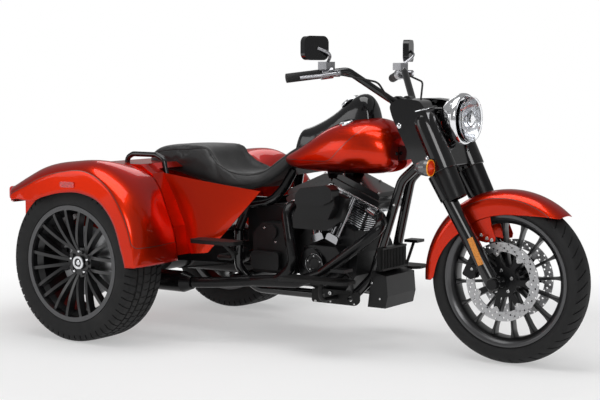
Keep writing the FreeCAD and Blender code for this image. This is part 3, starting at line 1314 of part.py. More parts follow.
def vee_turn(side):
    return Rotation(LEFT, float(s.vee_half_angle) * side)


# Crankcase below its two decks: (share of its radius ahead of the crank, share of its radius over it)
CASE_SHARES = ((1.0, 0.20), (0.96, -0.50), (0.58, -1.0), (-0.58, -1.0), (-1.0, -0.80), (-1.17, -0.55),
               (-1.17, 0.58))


def crankcase():
    """Split case: a flat deck square to each cylinder, a flat face for the gearbox and a flat foot."""
    deck = s.barrel_r + s.shell_wall
    front, rear = vee_place(1, s.cylinder_base, deck), vee_place(-1, s.cylinder_base, -deck)
    top = (s.crank_ahead, s.crank_height + s.cylinder_base / math.cos(math.radians(s.vee_half_angle)))
    outline = [(s.crank_ahead + s.case_r * a, s.crank_height + s.case_r * b) for a, b in CASE_SHARES]
    outline += [(rear[0], rear[2]), top, (front[0], front[2])]
    return slab("crankcase", "XZ", [outline], -s.case_out, s.case_out)


def cylinder(word, side):
    """Barrel and head with their stacks of square fins, and the exhaust port's stub."""
    name = "cylinder_" + word
    body = new_body(name)
    top = s.cylinder_length + s.head_height
    revolve_in(body, [rectangle(0, 0, s.barrel_r, top)], name + "_barrel")
    half = s.fin_size / 2
    block_half = s.barrel_r + s.shell_wall
    middle = Placement(Vector(0, 0, s.cylinder_length + s.head_height / 2), Rotation())
    square = corners(rectangle(-block_half, -block_half, block_half, block_half), s.lug_r)
    sketch = draw(body, "XY_Plane", [square], name + "_head_outline", middle)
    sketch.setExpression("AttachmentOffset.Base.z", (s.cylinder_length + s.head_height / 2).text)
    padded(body, sketch, s.head_height, name + "_head")
    stacks = ((half, 0, s.cylinder_length, "fin"),
              (s.head_fin_size / 2, s.cylinder_length, top, "head_fin"))
    for reach, low, high, kind in stacks:
        outline = corners(rectangle(-reach, -half, reach, half), s.barrel_r / 3)
        start = low + s.fin_pitch / 2
        lift = Placement(Vector(0, 0, start), Rotation())
        sketch = draw(body, "XY_Plane", [outline], "%s_%s_outline" % (name, kind), lift)
        sketch.setExpression("AttachmentOffset.Base.z", start.text)
        fin = padded(body, sketch, s.fin_wall, "%s_%s" % (name, kind))
        stack = body.newObject("PartDesign::LinearPattern", "%s_%ss" % (name, kind))
        stack.Originals = [fin]
        stack.Direction = (next(item for item in body.Origin.OriginFeatures if item.Role == "Z_Axis"), [""])
        count = int((high - low) / s.fin_pitch)
        stack.Occurrences = count
        stack.setExpression("Length", (s.fin_pitch * (count - 1)).text)
        body.Tip = stack
    put(body, vee_place(side, s.cylinder_base), vee_turn(side))
    port = rod(name + "_port", port_root(side), port_end(side), s.port_r)
    return fused(name + "_whole", [body, port], False)


def port_along():
    return s.cylinder_base + s.cylinder_length + s.head_height - s.port_r - s.fin_wall


def port_root(side):
    if side > 0:
        return vee_place(side, port_along(), s.barrel_r / 2, -s.port_offset)
    return vee_place(side, port_along(), -s.port_offset, -s.barrel_r / 2)


def port_end(side):
    """Face of the exhaust port: the front one looks ahead, the rear one to the right side."""
    if side > 0:
        return vee_place(side, port_along(), s.head_fin_size / 2 + s.port_reach, -s.port_offset - s.port_r)
    return vee_place(side, port_along(), -s.port_offset, -s.fin_size / 2 - s.port_reach)


def intake_middle():
    along = s.cylinder_base + s.cylinder_length + s.head_height / 2
    return vee_place(1, along)[2]


def cylinders():
    """Both cylinders, each cut back on its side of the vee's middle, joined by the intake manifold."""
    height = intake_middle()
    parts = []
    for word, side in (("front", 1), ("rear", -1)):
        near = s.crank_ahead + s.vee_gap / 2 * side
        low, high = sorted((near, near - s.fin_size * side), key=float)
        room = block("vee_room_" + word, (low, -s.fin_size, s.crank_height),
                     (high, s.fin_size, s.crank_height + s.cylinder_base * 2))
        parts.append(cut("cylinder_side_" + word, cylinder(word, side), room, False))
    reach = vee_place(1, s.cylinder_base)[0] - s.crank_ahead
    runner = rod("intake_runner", (s.crank_ahead - reach, -s.intake_r, height),
                 (s.crank_ahead + reach, -s.intake_r, height), s.intake_r)
    neck = rod("intake_neck", (s.crank_ahead, -s.intake_r, height),
               (s.crank_ahead, -s.intake_flange_out, height), s.intake_r)
    return fused("cylinders", parts + [runner, neck], False)


# Rocker box seen from the side, its lower and its upper tier: (share of its half length, share of its height)
ROCKER_SHARES = ((-1.0, 0.0), (1.0, 0.0), (1.0, 0.42), (0.92, 0.50), (-0.92, 0.50), (-1.0, 0.42))
ROCKER_TOP_SHARES = ((-0.90, 0.50), (0.90, 0.50), (0.90, 0.84), (0.74, 1.0), (-0.74, 1.0), (-0.90, 0.84))


def rocker_boxes():
    """Two-tier covers on the heads, each over its bright gasket plate."""
    parts = []
    base = s.cylinder_base + s.cylinder_length + s.head_height
    half, wide = s.rocker_length / 2, s.rocker_width / 2
    for word, side in (("front", 1), ("rear", -1)):
        spot, turn = vee_place(side, base), vee_turn(side)
        pieces = [slab("gasket_" + word, "XZ", [rectangle(-half - s.lip_wall, 0, half + s.lip_wall,
                                                          s.gasket_wall)],
                       -wide - s.lip_wall, wide + s.lip_wall, spot, turn)]
        for tier, shares, out in (("low", ROCKER_SHARES, wide),
                                  ("high", ROCKER_TOP_SHARES, wide - s.lug_r)):
            outline = [(half * a, s.gasket_wall + s.rocker_height * b) for a, b in shares]
            pieces.append(slab("rocker_%s_%s" % (tier, word), "XZ", [outline], -out, out, spot, turn))
        parts.append(fused("rocker_box_" + word, pieces))
    return grouped("rocker_boxes", parts)


# Gear cover: (share of the case's radius ahead of the crank, share over it)
GEAR_COVER_SHARES = ((-0.86, -0.30), (-0.55, -0.78), (0.10, -0.84), (0.62, -0.50), (0.80, 0.12),
                     (0.56, 0.44),
                     (-0.60, 0.44))


def gear_cover():
    """Cam cover on the right of the case, with the round timer cover on its face."""
    outline = corners([(s.crank_ahead + s.case_r * a, s.crank_height + s.case_r * b)
                       for a, b in GEAR_COVER_SHARES], s.lug_r * 2)
    face = s.case_out + s.gear_cover_wall
    chest = slab("gear_chest", "XZ", [outline], -face, -s.case_out)
    centre = (s.crank_ahead - s.timer_back, -face, s.crank_height)
    disc = rod("timer_cover", centre, (centre[0], centre[1] - s.timer_height, centre[2]), s.timer_r)
    return fused("gear_cover", [chest, disc])


# Feet and heads of the two tubes across a cylinder, as shares of the tappet block's half width
PUSHROD_SHARES = ((0.5, 0.0), (-0.5, -0.8))


def pushrods(boxes):
    """A tappet block square to each cylinder on the case, and its two tubes up to the rocker box."""
    parts = []
    half, out = s.tappet_half, s.case_out + s.tappet_wall
    top = s.cylinder_base + s.cylinder_length + s.head_height + s.gasket_wall
    for word, side in (("front", 1), ("rear", -1)):
        base = vee_place(side, s.tappet_base)
        outline = [(-half, 0), (half, 0), (half, s.tappet_tall - s.lug_r), (half - s.lug_r, s.tappet_tall),
                   (s.lug_r - half, s.tappet_tall), (-half, s.tappet_tall - s.lug_r)]
        pieces = [slab("tappet_block_" + word, "XZ", [outline], -out, -s.case_out, base, vee_turn(side))]
        for i, (foot, head) in enumerate(PUSHROD_SHARES):
            low = vee_place(side, s.tappet_base + s.tappet_tall - s.lug_r, half * foot * side,
                            -out + s.pushrod_r + s.shell_wall)
            end = vee_place(side, top, half * head * side, -s.rocker_width / 2 + s.pushrod_r)
            pieces.append(rod("pushrod_%s_%d" % (word, i), low, end, s.pushrod_r))
        parts.append(fused("tappets_" + word, pieces))
    return cut("pushrods", grouped("pushrod_parts", parts), boxes)


# Air cleaner from the side, as shares of the cover's length and height: the cover itself, its raised upper
# tier and the plate behind it
AIR_COVER_SHARES = ((0.02, 0.69), (0.0, 0.34), (0.105, 0.09), (0.84, 0.0), (1.0, 0.37), (1.0, 0.88),
                    (0.865, 1.0), (0.16, 0.89))
AIR_TIER_SHARES = ((0.02, 0.69), (0.008, 0.43), (0.30, 0.40), (0.74, 0.42), (1.0, 0.56), (1.0, 0.88),
                   (0.865, 1.0),
                   (0.16, 0.89))
AIR_PLATE_SHARES = ((-0.012, 0.67), (-0.263, 0.03), (-0.263, -0.32), (0.649, -0.336), (1.023, -0.05),
                    (1.181, 0.635), (0.86, 0.76))


def air_outline(shares):
    return corners([(s.air_cleaner_ahead + s.air_cleaner_length * along,
                     s.air_cleaner_low + s.air_cleaner_tall * up)
                    for along, up in shares], s.lug_r)


def air_cleaner():
    """Six-sided cover with a raised upper tier on a deep backplate, on the neck that comes out of the vee."""
    face = s.air_cleaner_out - s.air_tier_wall
    inner = s.air_cleaner_out - s.air_cleaner_wall
    back = inner - s.air_plate_wall
    neck_height = intake_middle()
    parts = [slab("air_cover", "XZ", [air_outline(AIR_COVER_SHARES)], -face, -inner),
             slab("air_tier", "XZ", [air_outline(AIR_TIER_SHARES)], -s.air_cleaner_out, -face),
             slab("air_plate", "XZ", [air_outline(AIR_PLATE_SHARES)], -inner, -back),
             rod("air_neck", (s.crank_ahead, -s.intake_flange_out, neck_height),
                 (s.crank_ahead, -back, neck_height), s.intake_r + s.lip_wall)]
    return fused("air_cleaner", parts)


def primary_cover():
    """Long oval cover from the crank to the clutch, on the left, with a raised clutch dome."""
    outline = (round_end(s.crank_ahead, s.crank_height, s.primary_r, 1)
               + round_end(s.clutch_ahead, s.clutch_height, s.clutch_r, -1))
    face = s.case_out + s.primary_wall
    body = slab("primary_body", "XZ", [outline], s.case_out, face)
    dome = taper("clutch_dome", (s.clutch_ahead, face, s.clutch_height),
                 (s.clutch_ahead, face + s.timer_height, s.clutch_height), s.primary_r * DOME_SHARE,
                 s.primary_r * DOME_SHARE - s.timer_height)
    return fused("primary_cover", [body, dome])


DOME_SHARE = 0.72


def transmission():
    """Gearbox behind the case, with its side cover, a round filler cover and the drive pulley on the left."""
    low, high = s.gearbox_bottom_height, s.gearbox_top_height
    rear, front = s.gearbox_rear_ahead, s.crank_ahead - s.case_r * -CASE_SHARES[-1][0]
    outline = [(rear, low), (front, low), (front, high), (rear + s.lug_circle_r, high),
               (rear, high - s.lug_circle_r)]
    parts = [slab("gearbox", "XZ", [outline], -s.gearbox_right_out, s.gearbox_left_out)]
    side = corners(rectangle(rear + s.lip_wall, low + s.lug_r * 2, front - s.lug_circle_r,
                             high - s.clutch_r + s.lug_r * 2), s.lug_r * 2)
    face = s.gearbox_right_out + s.gearbox_cover_wall
    parts.append(slab("gearbox_cover", "XZ", [side], -face, -s.gearbox_right_out))
    middle = (rear + front) / 2
    parts.append(rod("gearbox_cap", (middle, -s.gearbox_right_out, high - s.hub_cap_r - s.lip_wall),
                     (middle, -s.gearbox_right_out - s.timer_height,
                      high - s.hub_cap_r - s.lip_wall), s.hub_cap_r))
    parts.append(rod("drive_pulley", (s.drive_pulley_ahead, s.gearbox_left_out, s.clutch_height),
                     (s.drive_pulley_ahead, s.belt_out + s.belt_width / 2,
                      s.clutch_height), s.drive_pulley_r))
    return fused("transmission", parts)


def rim_point(centre, radius, turn):
    return (centre[0] + radius * math.cos(turn), centre[1] + radius * math.sin(turn))


def belt_loop(extra):
    """Loop tangent to the drive pulley and the axle pulley, at a height over their rims."""
    rear, front = (0, s.rear_tyre_r), (s.drive_pulley_ahead, s.clutch_height)
    rear_r, front_r = s.axle_pulley_r + extra, s.drive_pulley_r + extra
    tilt = math.atan2(front[1] - rear[1], front[0] - rear[0])
    spread = math.acos((rear_r - front_r) / distance(rear, front))
    loop = []
    for centre, radius, start, arc in ((front, front_r, tilt + spread, spread),
                                       (rear, rear_r, tilt - spread, math.pi - spread)):
        sag = radius * (1 - math.cos(arc / 2))
        for i in range(2):
            loop.append(rim_point(centre, radius, start - arc * i) + (sag,))
        loop.append(rim_point(centre, radius, start - arc * 2))
    return loop


def drive_belt():
    half = s.belt_width / 2
    return slab("drive_belt", "XZ", [belt_loop(s.seat_gap + s.belt_wall), belt_loop(s.seat_gap)],
                s.belt_out - half, s.belt_out + half)


# Header routes between their named ends: (share of wheelbase, share of the tub's half width, share of deck height)
FRONT_HEADER_SHARES = ((0.699, 0.29, 0.737), (0.7246, 0.4625, 0.70), (0.690, 0.51, 0.625),
                       (0.568, 0.515, 0.425), (0.500, 0.535, 0.365))
REAR_HEADER_SHARES = ((0.462, 0.50, 0.775), (0.484, 0.555, 0.60), (0.494, 0.545, 0.46),
                      (0.450, 0.545, 0.372),
                      (0.372, 0.56, 0.352), (0.290, 0.66, 0.335))
CROSSOVER_SHARES = ((0.285, 0.42, 0.330), (0.268, 0.0, 0.330), (0.262, -0.50, 0.330))
JOINT_STEP = 5


def route(shares, side=-1):
    return [(s.wheelbase * a, s.tub_out * (b * side), s.deck_height * c) for a, b, c in shares]


def exhaust_headers(neighbours):
    """Both headers down the right side into one pipe, and the crossover to the left muffler."""
    end = (s.muffler_front_ahead, -s.muffler_out, s.muffler_height)
    rear = [port_end(-1)] + route(REAR_HEADER_SHARES) + [end]
    front = [port_end(1)] + route(FRONT_HEADER_SHARES) + [rear[JOINT_STEP]]
    left_end = (s.muffler_front_ahead, s.muffler_out, s.muffler_height)
    cross = [rear[JOINT_STEP]] + route(CROSSOVER_SHARES) + [left_end]
    pipes = [shaped("header_" + word, swept(points, s.header_bend_radius, s.pipe_r))
             for word, points in (("front", front), ("rear", rear), ("cross", cross))]
    return trimmed("exhaust_headers", fused("header_pipes", pipes), neighbours)


def mufflers():
    """Long round mufflers inboard of the rear wheels, each with a tail pipe and a hanger to the body."""
    parts = []
    floor = s.trunk_floor_height
    for word, side in SIDES:
        y = s.muffler_out * side
        front = (s.muffler_front_ahead, y, s.muffler_height)
        neck = (s.muffler_front_ahead - s.muffler_r, y, s.muffler_height)
        rear = (-s.muffler_rear_back, y, s.muffler_height)
        tip = (-s.muffler_rear_back - s.tip_length, y, s.muffler_height)
        hanger = -s.muffler_rear_back * HANGER_SHARE
        pieces = [taper("muffler_cone_" + word, front, neck, s.pipe_r + s.lip_wall, s.muffler_r),
                  rod("muffler_can_" + word, neck, rear, s.muffler_r),
                  rod("muffler_tip_" + word, rear, tip, s.tip_r),
                  block("muffler_hanger_" + word, (hanger - s.lug_r, y - s.lug_r * 2, s.muffler_height),
                        (hanger + s.lug_r, y + s.lug_r * 2, floor))]
        bore = rod("tip_bore_" + word, moved(tip, AHEAD, -s.overrun), (rear[0], y, s.muffler_height),
                   s.tip_r - s.shell_wall)
        parts.append(cut("muffler_" + word, fused("muffler_parts_" + word, pieces), bore))
    return grouped("mufflers", parts)


HANGER_SHARE = 0.66


# Cradle tube on one side, between the steering head and the seat rail:
# (share of wheelbase, share of the tub's half width, share of deck height)
CRADLE_SHARES = ((0.728, 0.09, 0.934), (0.664, 0.19, 0.404), (0.627, 0.32, 0.291), (0.345, 0.32, 0.291),
                 (0.305, 0.405, 0.41), (0.305, 0.405, 0.62))
SEAT_RAIL_SHARES = ((0.4155, 0.06, 0.964), (0.398, 0.12, 0.87), (0.375, 0.20, 0.79), (0.300, 0.24, 0.76))
SHOCK_TOP_SHARE = 0.124
SHOCK_FOOT_SHARE = 0.066


def head_tube_ends():
    way = steering_way()
    low = moved(clamp_faces(s.lower_clamp_height)[1], way, s.head_play)
    high = moved(clamp_faces(s.upper_clamp_height)[0], way, -s.head_play)
    return low, high


def frame():
    """Steering head, backbone, double cradle, seat rails, cross tubes and the swingarm's pivot."""
    low, high = head_tube_ends()
    parts = [rod("head_tube", low, high, s.head_tube_r),
             slab("backbone", "XZ", [backbone_outline()], -s.backbone_out, s.backbone_out)]
    seat_z = s.deck_height * SEAT_RAIL_SHARES[-1][2]
    for word, side in SIDES:
        start = (backbone_line()[0][0] - s.head_tube_r, s.backbone_out / 2 * side, low[2] + s.head_tube_r)
        cradle = [start] + route(CRADLE_SHARES, side)
        parts.append(shaped("cradle_" + word, swept(cradle, s.frame_bend_radius, s.downtube_r)))
        rail = route(SEAT_RAIL_SHARES, side)
        end = (s.hinge_ahead + s.tub_wall, rail[-1][1], seat_z)
        parts.append(shaped("seat_rail_" + word, swept(rail + [end], s.frame_bend_radius, s.downtube_r)))
        boss = (s.wheelbase * CRADLE_SHARES[-1][0], s.tub_out * (SEAT_RAIL_SHARES[-1][1] * side), seat_z)
        far = (boss[0], s.panel_rear_out * side, boss[2] - s.lug_circle_r)
        parts.append(rod("panel_boss_" + word, boss, far, s.board_arm_r))
        upright = (s.wheelbase * CRADLE_SHARES[-1][0], s.tub_out * (CRADLE_SHARES[-1][1] * side))
        parts.append(rod("upright_top_" + word,
                         (upright[0], upright[1], s.deck_height * CRADLE_SHARES[-1][2]),
                         (upright[0], s.tub_out * (SEAT_RAIL_SHARES[-1][1] * side), seat_z), s.downtube_r))
    pivot_out = s.tub_out * CRADLE_SHARES[-1][1]
    parts.append(rod("swing_pivot", (s.pivot_ahead, -pivot_out, s.pivot_height),
                     (s.pivot_ahead, pivot_out, s.pivot_height), s.pivot_r))
    shock_top = s.wheelbase * SHOCK_TOP_SHARE
    reach = s.shock_out + s.shock_r
    parts.append(rod("shock_tube", (shock_top, -reach, seat_z), (shock_top, reach, seat_z), s.pivot_r))
    rail_z = s.deck_height * CRADLE_SHARES[2][2]
    rail_y = s.tub_out * CRADLE_SHARES[2][1]
    foot = s.crank_height - s.case_r
    for word, ahead in (("front", s.case_r / 2), ("rear", -s.case_r / 2)):
        middle = s.crank_ahead + ahead
        parts.append(block("engine_mount_" + word, (middle - s.lug_r, -rail_y, rail_z),
                           (middle + s.lug_r, rail_y, foot)))
    solid = fused("frame_parts", parts)
    bore = rod("head_bore", moved(low, steering_way(), -s.overrun), moved(high, steering_way(), s.overrun),
               s.stem_r + s.running_gap)
    covers = [shaped("panel_cover_" + word, panel_form(side, s.side_panel_wall + s.seat_gap,
                                                       s.tub_out)) for word, side in SIDES]
    return trimmed("frame", solid, [bore] + covers)


def axle_housing():
    """Swingarm, drive case and axle tubes in one, with the spindle that carries each wheel."""
    z = s.rear_tyre_r
    flange = s.axle_flange_out
    parts = [rod("axle_tube", (0, -flange, z), (0, flange, z), s.axle_tube_r),
             rod("drive_case", (0, -s.diff_out, z), (0, s.diff_out, z), s.diff_r),
             rod("axle_pulley", (0, s.diff_out, z), (0, s.belt_out + s.belt_width / 2, z), s.axle_pulley_r)]
    for word, side in SIDES:
        parts.append(taper("drive_cone_" + word, (0, s.diff_out * side, z),
                           (0, (s.swingarm_out - s.swingarm_wall / 2) * side,
                            z), s.diff_r * CONE_SHARE, s.axle_tube_r))
        parts.append(rod("axle_flange_" + word, (0, (flange - s.axle_flange_wall) * side, z),
                         (0, flange * side, z), s.axle_flange_r))
        tip = s.rear_track / 2 + s.spindle_reach
        parts.append(rod("spindle_" + word, (0, flange * side, z), (0, tip * side, z), s.spindle_r))
        half = s.swingarm_tall / 2
        arm = round_end(s.pivot_ahead, s.pivot_height, half, 1) + round_end(0, z, half, -1)
        low, high = sorted(((s.swingarm_out - s.swingarm_wall / 2) * side,
                            (s.swingarm_out + s.swingarm_wall / 2) * side), key=float)
        parts.append(slab("swingarm_" + word, "XZ", [arm], low, high))
        foot = s.wheelbase * SHOCK_FOOT_SHARE
        near, far = sorted((s.swingarm_out * side, (s.shock_out + s.shock_r) * side), key=float)
        parts.append(block("shock_lug_" + word, (foot - s.shock_r, near, z),
                           (foot + s.shock_r, far, z + half)))
        back, front = -s.rear_disc_r, 0
        near, far = sorted(((flange - s.axle_flange_wall) * side, flange * side), key=float)
        parts.append(block("caliper_arm_" + word, (back, near, z - s.axle_tube_r),
                           (front, far, z + s.axle_tube_r)))
    solid = fused("axle_parts", parts)
    bore = rod("pivot_bore", (s.pivot_ahead, -s.tub_out, s.pivot_height),
                (s.pivot_ahead, s.tub_out, s.pivot_height),
                s.pivot_r + s.seat_gap)
    return cut("axle_housing", solid, bore)


CONE_SHARE = 0.8


def rear_calipers():
    """Caliper behind each axle flange, astride its disc."""
    parts = []
    for word, side in SIDES:
        disc = s.rear_track / 2 - s.rear_disc_in
        inner, outer = s.axle_flange_out, disc + s.rear_disc_wall / 2 + s.shell_wall + s.lug_r
        low, high = sorted((inner * side, outer * side), key=float)
        reach = s.rear_disc_r + s.shell_wall + s.lug_r
        outline = corners(rectangle(-reach, s.rear_tyre_r - s.caliper_length / 2, -reach + s.caliper_depth,
                                    s.rear_tyre_r + s.caliper_length / 2), s.lug_r)
        body = slab("rear_caliper_body_" + word, "XZ", [outline], low, high)
        half = s.rear_disc_wall / 2 + s.shell_wall
        slot = turned("rear_caliper_slot_" + word, [rectangle(0, -half, s.rear_disc_r + s.shell_wall,
                                                              half)],
                      (0, disc * side, s.rear_tyre_r), outwards(side))
        hub = rod("rear_caliper_hub_" + word, (0, inner * side, s.rear_tyre_r),
                  (0, (disc + s.tub_out) * side,
                  s.rear_tyre_r), s.rear_hub_r + s.shell_wall)
        parts.append(cut("rear_caliper_" + word, body, fused("rear_caliper_cuts_" + word, [slot, hub])))
    return grouped("rear_calipers", parts)


def rear_shocks(frame_piece, axle_piece):
    parts = []
    for word, side in SIDES:
        y = s.shock_out * side
        foot = (s.wheelbase * SHOCK_FOOT_SHARE, y, s.rear_tyre_r)
        top = (s.wheelbase * SHOCK_TOP_SHARE, y, s.deck_height * SEAT_RAIL_SHARES[-1][2])
        way = Vector(*top) - Vector(*foot)
        length = distance(foot, top)
        waist = moved(foot, way, length * SHOCK_WAIST_SHARE)
        parts.append(fused("shock_whole_" + word,
                           [rod("shock_" + word, foot, top, s.shock_r * SHOCK_ROD_SHARE),
                                                   rod("shock_body_" + word, waist,
                                                       moved(top, way, -s.shock_r),
                                                       s.shock_r)]))
    return trimmed("rear_shocks", grouped("shock_pair", parts), [frame_piece, axle_piece])


SHOCK_WAIST_SHARE = 0.36
SHOCK_ROD_SHARE = 0.5


def footboards(frame_piece):
    """Rider's and passenger's boards on their arms."""
    parts = []
    for word, side in SIDES:
        inner, outer = s.board_inner_out * side, (s.board_inner_out + s.board_width) * side
        front = s.board_rear_ahead + s.board_length
        trim = s.lug_circle_r / 2
        plan = corners([(s.board_rear_ahead, inner), (front - trim, inner), (front, inner + trim * side),
                        (front, outer - trim * side), (front - trim, outer), (s.board_rear_ahead, outer)], s.lug_r)
        board = slab("rider_board_" + word, "XY", [plan], s.board_height, s.board_height + s.board_wall)
        middle = s.board_rear_ahead + s.board_length / 2
        rail_y, rail_z = s.tub_out * CRADLE_SHARES[2][1], s.deck_height * CRADLE_SHARES[2][2]
        elbow_y = s.board_inner_out + s.board_width / 3
        arm = shaped("rider_board_arm_" + word,
                     swept([(middle, rail_y * side, rail_z), (middle, elbow_y * side, rail_z),
                            (middle, elbow_y * side, s.board_height)], s.rail_bend_radius, s.board_arm_r))
        near = (rail_y + s.downtube_r + s.seat_gap) * side
        low, high = sorted((near, near + s.bracket_wall * side), key=float)
        rear, length = s.bracket_rear_ahead, s.bracket_length
        plate = [(rear + length * along, rail_z + s.bracket_tall * up) for along,
                 up in BRACKET_PLATE_SHARES]
        holes = [ring(rear + length * along, rail_z + s.bracket_tall * up, s.bracket_hole_r)
                 for along, up in BRACKET_HOLE_SHARES]
        bracket = slab("board_bracket_" + word, "XZ", [corners(plate, s.lug_r)] + holes, low, high)
        parts.append(fused("rider_step_" + word, [board, arm, bracket]))
        inner = s.passenger_board_inner_out * side
        outer = (s.passenger_board_inner_out + s.passenger_board_width) * side
        back = s.passenger_board_rear_ahead
        front = back + s.passenger_board_length
        plan = corners([(back, inner), (front, inner), (front, outer), (back, outer)], s.lug_circle_r / 2)
        low = s.passenger_board_height
        board = slab("passenger_board_" + word, "XY", [plan], low, low + s.passenger_board_wall)
        upright = (s.wheelbase * CRADLE_SHARES[-1][0], s.tub_out * CRADLE_SHARES[-1][1] * side,
                   s.deck_height * BRACKET_SHARE)
        knee = (front - s.lug_circle_r, inner - s.board_arm_r * 2 * side, s.deck_height * BRACKET_SHARE)
        outer_point = (upright[0], inner - s.board_arm_r * 2 * side, upright[2])
        bend = shaped("passenger_arm_" + word,
                      swept([upright, outer_point, knee, (front - s.lug_circle_r * 2,
                      inner + s.board_arm_r * 2 * side, low)], s.rail_bend_radius, s.board_arm_r))
        parts.append(fused("passenger_step_" + word, [board, bend]))
    return cut("footboards", grouped("board_parts", parts), frame_piece)


BRACKET_SHARE = 0.49
# Plate that carries a rider's board on the cradle, and its holes: shares of its length and height
BRACKET_PLATE_SHARES = ((0.0, 0.30), (0.0, -0.46), (0.92, -0.46), (1.0, -0.20), (1.0, 0.46), (0.10, 0.46))
BRACKET_HOLE_SHARES = ((0.22, 0.0), (0.80, 0.0))


# Battery box from the side: (share of the gearbox's length ahead of its rear, height as a share of the deck's)
BATTERY_SHARES = ((-0.418, 0.5495), (-0.002, 0.5495), (-0.002, 0.6128), (0.241, 0.6762), (0.601, 0.6762),
                  (0.601, 0.7486), (0.288, 0.7692), (-0.34, 0.7527), (-0.418, 0.728))


def battery_box(neighbours):
    """Black box that carries the battery under the saddle, on the gearbox's top and behind it."""
    front = s.crank_ahead - s.case_r * -CASE_SHARES[-1][0]
    length = front - s.gearbox_rear_ahead
    outline = [(s.gearbox_rear_ahead + length * along, s.deck_height * up) for along, up in BATTERY_SHARES]
    return trimmed("battery_box", slab("battery_form", "XZ", [outline], -s.battery_right_out,
                                       s.battery_left_out),
                   neighbours)


def foot_controls(neighbours):
    """Brake pedal on the right and shift lever on the left, each on its own arm from the cradle."""
    parts = []
    for word, side, rise in (("right", -1, PEDAL_RISE_SHARES[0]), ("left", 1, PEDAL_RISE_SHARES[1])):
        root = (s.wheelbase * CRADLE_SHARES[2][0], s.tub_out * CRADLE_SHARES[2][1] * side,
                s.deck_height * CRADLE_SHARES[2][2])
        ahead = s.board_rear_ahead + s.board_length - s.lug_circle_r
        middle = (s.board_inner_out + s.board_width / 2) * side
        elbow = (ahead, s.board_inner_out * side - s.board_arm_r * 2 * side, s.board_height + s.board_wall)
        pad_z = s.board_height + (s.deck_height - s.board_height) * rise
        arm = swept([root, elbow, (ahead, middle, pad_z)], s.rail_bend_radius,
                    s.board_arm_r * PEDAL_ARM_SHARE)
        low, high = sorted((middle - s.pedal_length / 2, middle + s.pedal_length / 2), key=float)
        pad = block("pedal_pad_" + word, (ahead - s.pedal_length / 2, low, pad_z - s.pedal_wall / 2),
                    (ahead + s.pedal_length / 2, high, pad_z + s.pedal_wall / 2))
        parts.append(fused("pedal_" + word, [shaped("pedal_arm_" + word, arm), pad]))
    return trimmed("foot_controls", grouped("pedals", parts), neighbours)


PEDAL_RISE_SHARES = (0.12, 0.26)
PEDAL_ARM_SHARE = 0.7
# Chin box seen from the side: (share of its depth behind its front, share of its height)
CHIN_SHARES = ((0.08, 0.90), (0.0, 0.34), (0.12, 0.0), (1.0, 0.0), (0.80, 1.0))


def chin_box(frame_piece):
    """Low box in front of the cradle's feet."""
    tall = s.chin_top_height - s.chin_bottom_height
    outline = [(s.chin_front_ahead - s.chin_depth * back, s.chin_bottom_height + tall * up) for back,
               up in CHIN_SHARES]
    return cut("chin_box", slab("chin_form", "XZ", [outline], -s.chin_out, s.chin_out), frame_piece)


COOLER_FINS = 16


def oil_cooler(frame_piece):
    """Upright oil cooler between two tanks, its core a row of fins."""
    low, high = s.cooler_bottom_height, s.cooler_top_height
    front = s.cooler_front_ahead
    back = front - s.cooler_wall
    body = new_body("cooler_core")
    pitch = s.cooler_out * 2 / COOLER_FINS
    first = pitch / 2 - s.cooler_out
    plate = rectangle(back, low, front, high)
    lift = Placement(Vector(0, 0, -first), Rotation())
    sketch = draw(body, "XZ_Plane", [plate], "cooler_fin_outline", lift)
    sketch.setExpression("AttachmentOffset.Base.z", (-first).text)
    fin = padded(body, sketch, s.cooler_fin_wall, "cooler_fin")
    row = body.newObject("PartDesign::LinearPattern", "cooler_fins")
    row.Originals = [fin]
    row.Direction = (next(item for item in body.Origin.OriginFeatures if item.Role == "Y_Axis"), [""])
    row.setExpression("Length", (pitch * (COOLER_FINS - 1)).text)
    row.Occurrences = COOLER_FINS
    body.Tip = row
    put(body)
    core = block("cooler_web", (back + s.cooler_wall / 3, -s.cooler_out, low),
                 (front - s.cooler_wall / 3, s.cooler_out, high))
    bars = [block("cooler_bar_" + word, (back, -s.cooler_out, z), (front, s.cooler_out, z + s.lug_r))
            for word, z in (("low", low), ("high", high - s.lug_r))]
    stay = block("cooler_stay", (front - s.cooler_wall * 2, -s.head_tube_r * 2, (low + high) / 2 - s.lug_r),
                 (back + s.cooler_fin_wall, s.head_tube_r * 2, (low + high) / 2 + s.lug_r))
    return cut("oil_cooler", fused("cooler_parts", [body, core, stay] + bars), frame_piece)


def control_cables(neighbours):
    """Brake hose and control cable, each from its switch housing forwards and down to the upper clamp."""
    parts = []
    face = clamp_faces(s.upper_clamp_height)[1]
    for word, side in SIDES:
        start = moved(bar_end(side), grip_way(side), s.grip_length + s.switch_length / 2)
        end = (face[0] - s.clamp_depth / 2, s.bar_flat_out * side, face[2] - s.clamp_wall / 2)
        run = [Vector(*start) + (Vector(*end) - Vector(*start)) * share for share, _, _ in CABLE_SHARES]
        lifted = [(x + s.cable_reach * ahead, y, z + s.cable_rise * up)
                  for (x, y, z), (_, ahead, up) in zip(run, CABLE_SHARES)]
        points = [start] + lifted + [end]
        parts.append(shaped("cable_" + word, swept(points, s.hose_bend_radius, s.hose_r)))
    piece = grouped("cable_pair", parts)
    return trimmed("control_cables", piece, neighbours)


# A cable over the bars: shares of its way from the switch to the clamp, of its loop's reach and of its rise
CABLE_SHARES = ((0.16, 0.20, 0.30), (0.52, 0.45, 0.80), (0.86, -0.10, 0.10))


